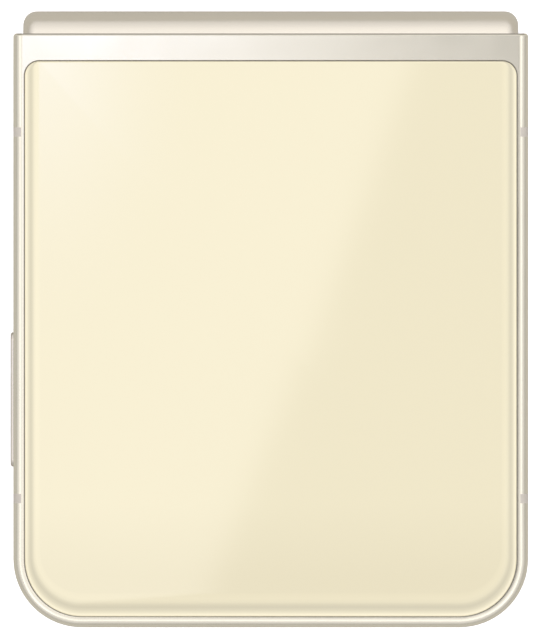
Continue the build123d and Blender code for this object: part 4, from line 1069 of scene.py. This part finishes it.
def turned_back(places, share):
    """Flat places in the spine's plane, turned about the fold axis by a share of the fold."""
    angle = -share * FOLD
    c, s = np.cos(angle), np.sin(angle)
    d = places - FOLD_AXIS
    return FOLD_AXIS + np.stack([c * d[..., 0] - s * d[..., 1],
                                 s * d[..., 0] + c * d[..., 1]], -1)


bend_begin = turned_back(np.array([-DISPLAY_START, -NEUTRAL]), 1.0)
bend_end = np.array([0.0, -NEUTRAL])
bend_way = bend_end - bend_begin


def closed_places(flat):
    """Where flat places lie once the phone is closed.

    The share s of the fold that a place keeps is found by halving steps: the flat place is
    turned by s times the fold, and s must equal one less the smooth step of how far that
    place is from the start of the bend towards its end.
    """
    low, high = np.zeros(len(flat)), np.ones(len(flat))
    for _ in range(HALVINGS):
        share = (low + high) / 2
        t = np.clip((turned_back(flat, share) - bend_begin) @ bend_way
                    / (bend_way @ bend_way), 0, 1)
        wanted = 1 - t * t * (3 - 2 * t)
        low, high = np.where(wanted > share, share, low), np.where(wanted > share, high, share)
    return turned_back(flat, share)


print("bend, mm from the middle:", round(DISPLAY_START, 3), "of the flat sheet")

# %% Sheets of the fold
def fold_sheet(name, sign, steps=40):
    """Half of the bending display, as a thin closed sheet between its face and its back."""
    along = np.linspace(DISPLAY_START + SHEET_LAP, 0.0, steps)
    face, back = (closed_places(np.stack([-along, np.full(steps, -depth)], -1))
                  for depth in (SHEET_FACE, SHEET_BACK))
    profile = np.concatenate([face, back[::-1]])
    points = np.concatenate([spine_place(profile[:, 0] * sign, profile[:, 1], across)
                             for across in (-SHEET_HALF_WIDTH, SHEET_HALF_WIDTH)])
    count = len(profile)
    step = np.arange(steps - 1)
    side = np.stack([step, step + 1, count - 2 - step, count - 1 - step], -1)
    faces = strips(2, count) + side.tolist() + (side + count).tolist()
    piece = add_mesh(name, points, faces, None, off_display, sharp=60)
    begin, end = (spine_place(place[0] * sign, place[1], 0.0)
                  for place in (bend_begin, bend_end))
    return piece, begin, end


upper_sheet, upper_begin, upper_stop = fold_sheet("display_fold_upper", 1)
lower_sheet, lower_begin, lower_stop = fold_sheet("display_fold_lower", -1)
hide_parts("display_fold")
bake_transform(upper_sheet, "upper_half", "spine", tuple(upper_begin), tuple(upper_stop))
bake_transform(lower_sheet, "lower_half", "spine", tuple(lower_begin), tuple(lower_stop))
co = np.array([v.co for v in upper_sheet.data.vertices])
print("fold sheet, mm:", (co.min(0) / MM).round(2), (co.max(0) / MM).round(2))


# %% [markdown]
# ## Port
# The charging port is lined with a drawn steel shell. Its rounded slot is exact in the CAD,
# so it is a merged copy with lines along the way it was drawn.

# %% Port
port_steel = brushed_metal("port_steel", (0.42, 0.42, 0.43), 0.34, along="y")
port_lining = merged_copy("port_shell", "port_shell_lining", port_steel, sharp=30)
print(port_lining.name, len(port_lining.data.polygons))


# %% [markdown]
# ## Floor
# A pale floor under the phone takes its shadow. It could be lit until it turns white, but
# that much light would also bleach the phone. So the camera sees it lifted to white, metal
# and glass see it pale, and diffuse light that bounces off it is at a plain level.

# %% Tools for node trees
def mix_by_ray(tree, rays, seen, other):
    """Shader that some kinds of ray see differently."""
    path = tree.nodes.new("ShaderNodeLightPath")
    for ray in rays:
        mix = tree.nodes.new("ShaderNodeMixShader")
        tree.links.new(path.outputs[ray], mix.inputs["Fac"])
        tree.links.new(other, mix.inputs[1])
        tree.links.new(seen, mix.inputs[2])
        other = mix.outputs["Shader"]
    return other


def plain_shader(tree, kind, color, strength=None):
    """Diffuse, emission or background shader of one colour, and of a strength if any."""
    made = tree.nodes.new(kind)
    made.inputs["Color"].default_value = (*color, 1)
    if strength is not None:
        made.inputs["Strength"].default_value = strength
    return made.outputs[0]


print("node tools ready")

# %% Floor
# metres from the middle to the floor's edges
FLOOR_REACH = 3.0
# what the camera sees, diffuse and lifted by emission; what metal and glass see, a little
# under the camera's white; and what lights the phone from below
WHITE_FLOOR, FLOOR_LIFT, LIFT_STRENGTH = (0.90, 0.885, 0.90), (1.0, 0.985, 1.0), 0.62
MIRRORED_FLOOR, BOUNCING_FLOOR = (0.58, 0.57, 0.53), (0.50, 0.49, 0.45)
floor_mesh = bpy.data.meshes.new("floor")
floor_mesh.from_pydata([(-FLOOR_REACH, -FLOOR_REACH, 0), (FLOOR_REACH, -FLOOR_REACH, 0),
                        (FLOOR_REACH, FLOOR_REACH, 0), (-FLOOR_REACH, FLOOR_REACH, 0)], [],
                       [(0, 1, 2, 3)])
floor = bpy.data.objects.new("floor", floor_mesh)
bpy.context.scene.collection.objects.link(floor)
floor_material = bpy.data.materials.new("pale_floor")
floor_material.use_nodes = True
tree = floor_material.node_tree
tree.nodes.clear()
output = tree.nodes.new("ShaderNodeOutputMaterial")
lifted = tree.nodes.new("ShaderNodeAddShader")
tree.links.new(plain_shader(tree, "ShaderNodeBsdfDiffuse", WHITE_FLOOR), lifted.inputs[0])
tree.links.new(plain_shader(tree, "ShaderNodeEmission", FLOOR_LIFT, LIFT_STRENGTH),
               lifted.inputs[1])
mirrored = mix_by_ray(tree, ("Is Glossy Ray", "Is Transmission Ray"),
                      plain_shader(tree, "ShaderNodeBsdfDiffuse", MIRRORED_FLOOR),
                      plain_shader(tree, "ShaderNodeBsdfDiffuse", BOUNCING_FLOOR))
seen = mix_by_ray(tree, ("Is Camera Ray",), lifted.outputs["Shader"], mirrored)
tree.links.new(seen, output.inputs["Surface"])
floor_mesh.materials.append(floor_material)
print("floor, m wide:", 2 * FLOOR_REACH)


# %% [markdown]
# ## Dome of light
# A studio's walls light the phone from all round. A picture of a studio could do that, but a
# few heights with a radiance each are enough, since blasted metal and rolled edges show only
# how light falls off with height. The camera sees a flat white backdrop in its place.

# %% Maths in a light's tree
class LightMaths:
    """Short calls for the maths nodes in the tree of a lamp or the world."""

    def __init__(self, tree):
        self.tree = tree

    def feed(self, node, values):
        """Give a node's inputs, in order, numbers or sockets."""
        for index, value in enumerate(values):
            if isinstance(value, (int, float, tuple)):
                node.inputs[index].default_value = value
            else:
                self.tree.links.new(value, node.inputs[index])

    def value(self, operation, *values, clamp=False):
        """Maths node."""
        made = self.tree.nodes.new("ShaderNodeMath")
        made.operation, made.use_clamp = operation, clamp
        self.feed(made, values)
        return made.outputs["Value"]

    def vector(self, operation, *values, out="Vector"):
        """Vector maths node."""
        made = self.tree.nodes.new("ShaderNodeVectorMath")
        made.operation = operation
        self.feed(made, values)
        return made.outputs[out]

    def scaled(self, color, factor):
        """A colour times a number."""
        made = self.tree.nodes.new("ShaderNodeVectorMath")
        made.operation = "SCALE"
        made.inputs[0].default_value = color
        self.tree.links.new(factor, made.inputs["Scale"])
        return made.outputs["Vector"]

    def smooth(self, value, low, high, out_low, out_high):
        """Smooth step of a value between two places, from one level to another."""
        made = self.tree.nodes.new("ShaderNodeMapRange")
        made.interpolation_type = "SMOOTHSTEP"
        for key, number in (("From Min", low), ("From Max", high),
                            ("To Min", out_low), ("To Max", out_high)):
            made.inputs[key].default_value = number
        self.tree.links.new(value, made.inputs["Value"])
        return made.outputs["Result"]


print("maths for the world and the lamp")

# %% World
# (height of the direction, radiance): dim at the horizon, brightest under the scrim's rim
DOME_LEVELS = [(0.0, 0.54), (0.28, 0.68), (0.45, 0.83), (0.60, 0.94), (0.74, 0.99),
               (0.84, 0.70), (0.92, 0.42), (1.0, 0.29)]
# a colour ramp holds levels up to 1, so they are shares of this strength
DOME_STRENGTH = 1.25
# a soft light low behind the hinge, which the spine shows: where it starts and is full along
# y, and its level
BEHIND_START, BEHIND_FULL, BEHIND_LEVEL = 0.35, 0.90, 0.26
BACKDROP = (0.93, 0.925, 0.93)
world = bpy.data.worlds.new("studio")
bpy.context.scene.world = world
world.use_nodes = True
tree = world.node_tree
tree.nodes.clear()
output = tree.nodes.new("ShaderNodeOutputWorld")
direction = tree.nodes.new("ShaderNodeSeparateXYZ")
tree.links.new(tree.nodes.new("ShaderNodeTexCoord").outputs["Generated"],
               direction.inputs["Vector"])
by_height = tree.nodes.new("ShaderNodeValToRGB")
fill_ramp(by_height, [(height, shade((1, 1, 1), level / DOME_STRENGTH))
                      for height, level in DOME_LEVELS])
tree.links.new(direction.outputs["Z"], by_height.inputs["Fac"])
maths = LightMaths(tree)
behind = maths.smooth(direction.outputs["Y"], BEHIND_START, BEHIND_FULL, 0.0, BEHIND_LEVEL)
dome_light = tree.nodes.new("ShaderNodeBackground")
dome_light.inputs["Strength"].default_value = DOME_STRENGTH
tree.links.new(maths.vector("ADD", by_height.outputs["Color"], behind),
               dome_light.inputs["Color"])
seen = mix_by_ray(tree, ("Is Camera Ray",),
                  plain_shader(tree, "ShaderNodeBackground", BACKDROP),
                  dome_light.outputs["Background"])
tree.links.new(seen, output.inputs["Surface"])
print("dome levels:", [level for _, level in DOME_LEVELS])


# %% [markdown]
# ## Scrim
# The lamp is one large scrim above the phone, as studios light flat gloss: brighter on its
# left, with a soft slanting edge, and a cool glow at its far left corner. Flat glass mirrors
# it one to one, and blasted metal spreads it into an even fall from left to right. Several
# small lamps would give spots in the glass instead of one clean edge.

# %% Size and levels of the scrim
# metres: the scrim's side and its height above the floor
SCRIM_SIZE, SCRIM_HEIGHT = 0.90, 0.50
# the camera: pixels per mm on the phone, pixels along the frame, lens and sensor in mm
SCALE, FRAME_LENGTH = 7.13, 630
LENS, SENSOR = 1300.0, 36.0
view_height = FRAME_LENGTH / SCALE * MM
distance = LENS * view_height / SENSOR
# what the flat glass mirrors spreads as it goes on from the camera up to the scrim
SPREAD = 1 + SCRIM_HEIGHT / distance
# places on the phone, mm: two on the slanting edge, and the corner and reach of the cool glow
EDGE_TOP, EDGE_FOOT = np.array([24.5, 35.0]) * SPREAD, np.array([-1.8, -33.8]) * SPREAD
GLOW_CORNER, GLOW_REACH = np.array([-34.5, 36.1]) * SPREAD, np.array([25.0, 56.0]) * SPREAD
# mm on either side of the edge over which it fades
EDGE_SOFT = 2.5
# radiance left and right of the edge, and out at the rim, which begins at these distances, mm
LEFT_LEVEL, RIGHT_LEVEL, RIM_LEVEL = 0.99, 0.05, 0.74
RIM_NEAR, RIM_FAR = 70.0, 170.0
GLOW_COLOR = (1.0, 1.35, 2.75)
print("camera distance, m:", round(distance, 3), "spread:", round(SPREAD, 4))

# %% Place on the scrim, and its slanting edge
scrim_data = bpy.data.lights.new("scrim", "AREA")
scrim_data.shape = "SQUARE"
scrim_data.size = SCRIM_SIZE
# radiance of a one-sided panel is its power over pi times its area
scrim_data.energy = math.pi * SCRIM_SIZE ** 2
scrim_data.use_nodes = True
tree = scrim_data.node_tree
lamp = LightMaths(tree)
# the place on the panel, in mm from its middle
side = SCRIM_SIZE / MM
share_of_side = tree.nodes.new("ShaderNodeNewGeometry").outputs["Parametric"]
spot = lamp.vector("MULTIPLY_ADD", share_of_side, (side, side, 0.0),
                   (-side / 2, -side / 2, 0.0))
# how far it is to the right of the edge: its dot product with the edge's unit normal
edge_way = EDGE_TOP - EDGE_FOOT
edge_normal = np.array([edge_way[1], -edge_way[0]]) / np.linalg.norm(edge_way)
beyond_edge = lamp.value("SUBTRACT", lamp.vector("DOT_PRODUCT", spot,
                                                 (*map(float, edge_normal), 0.0), out="Value"),
                         float(np.dot(edge_normal, EDGE_FOOT)))
level = lamp.smooth(beyond_edge, -EDGE_SOFT, EDGE_SOFT, LEFT_LEVEL - RIM_LEVEL,
                    RIGHT_LEVEL - RIM_LEVEL)
# the difference between left and right dies out towards the rim
inner = lamp.smooth(lamp.vector("LENGTH", spot, out="Value"), RIM_NEAR, RIM_FAR, 1.0, 0.0)
level = lamp.value("ADD", lamp.value("MULTIPLY", level, inner), RIM_LEVEL)
print("edge leans, deg:", round(math.degrees(math.atan2(edge_way[0], edge_way[1])), 1))

# %% Cool glow and lamp
# the glow is one less the distance from its corner, in shares of its reach, squared
glow_way = lamp.vector("DIVIDE", lamp.vector("SUBTRACT", spot,
                                             (*map(float, GLOW_CORNER), 0.0)),
                       (*map(float, GLOW_REACH), 1.0))
glow = lamp.value("SUBTRACT", 1.0, lamp.vector("LENGTH", glow_way, out="Value"), clamp=True)
color = lamp.vector("ADD", lamp.scaled((1.0, 1.0, 1.0), level),
                    lamp.scaled(GLOW_COLOR, lamp.value("MULTIPLY", glow, glow)))
emission = next(n for n in tree.nodes if n.type == "EMISSION")
tree.links.new(color, emission.inputs["Color"])
scrim = bpy.data.objects.new("scrim", scrim_data)
bpy.context.scene.collection.objects.link(scrim)
scrim.location = (0, 0, SCRIM_HEIGHT)
print("scrim, m:", SCRIM_SIZE, "at", SCRIM_HEIGHT)


# %% [markdown]
# ## Camera
# The camera looks straight down at the back glass. A short lens close by would show the
# phone's sides, so it is a very long lens, metres away, which makes all lines of sight
# nearly parallel.

# %% Camera
# metres: off the phone's middle, and the height at which the scale holds
OFF_CENTRE, SCALE_HEIGHT = (-0.000035, 0.00052), 0.015
camera_data = bpy.data.cameras.new("camera")
camera_data.type = "PERSP"
camera_data.lens = LENS
camera_data.sensor_width = SENSOR
camera_data.clip_start, camera_data.clip_end = 0.1, 20.0
camera = bpy.data.objects.new("camera", camera_data)
bpy.context.scene.collection.objects.link(camera)
camera.location = (*OFF_CENTRE, SCALE_HEIGHT + distance)
bpy.context.scene.camera = camera
bpy.context.scene.view_settings.view_transform = "Standard"
print("camera at, m:", [round(c, 5) for c in camera.location])
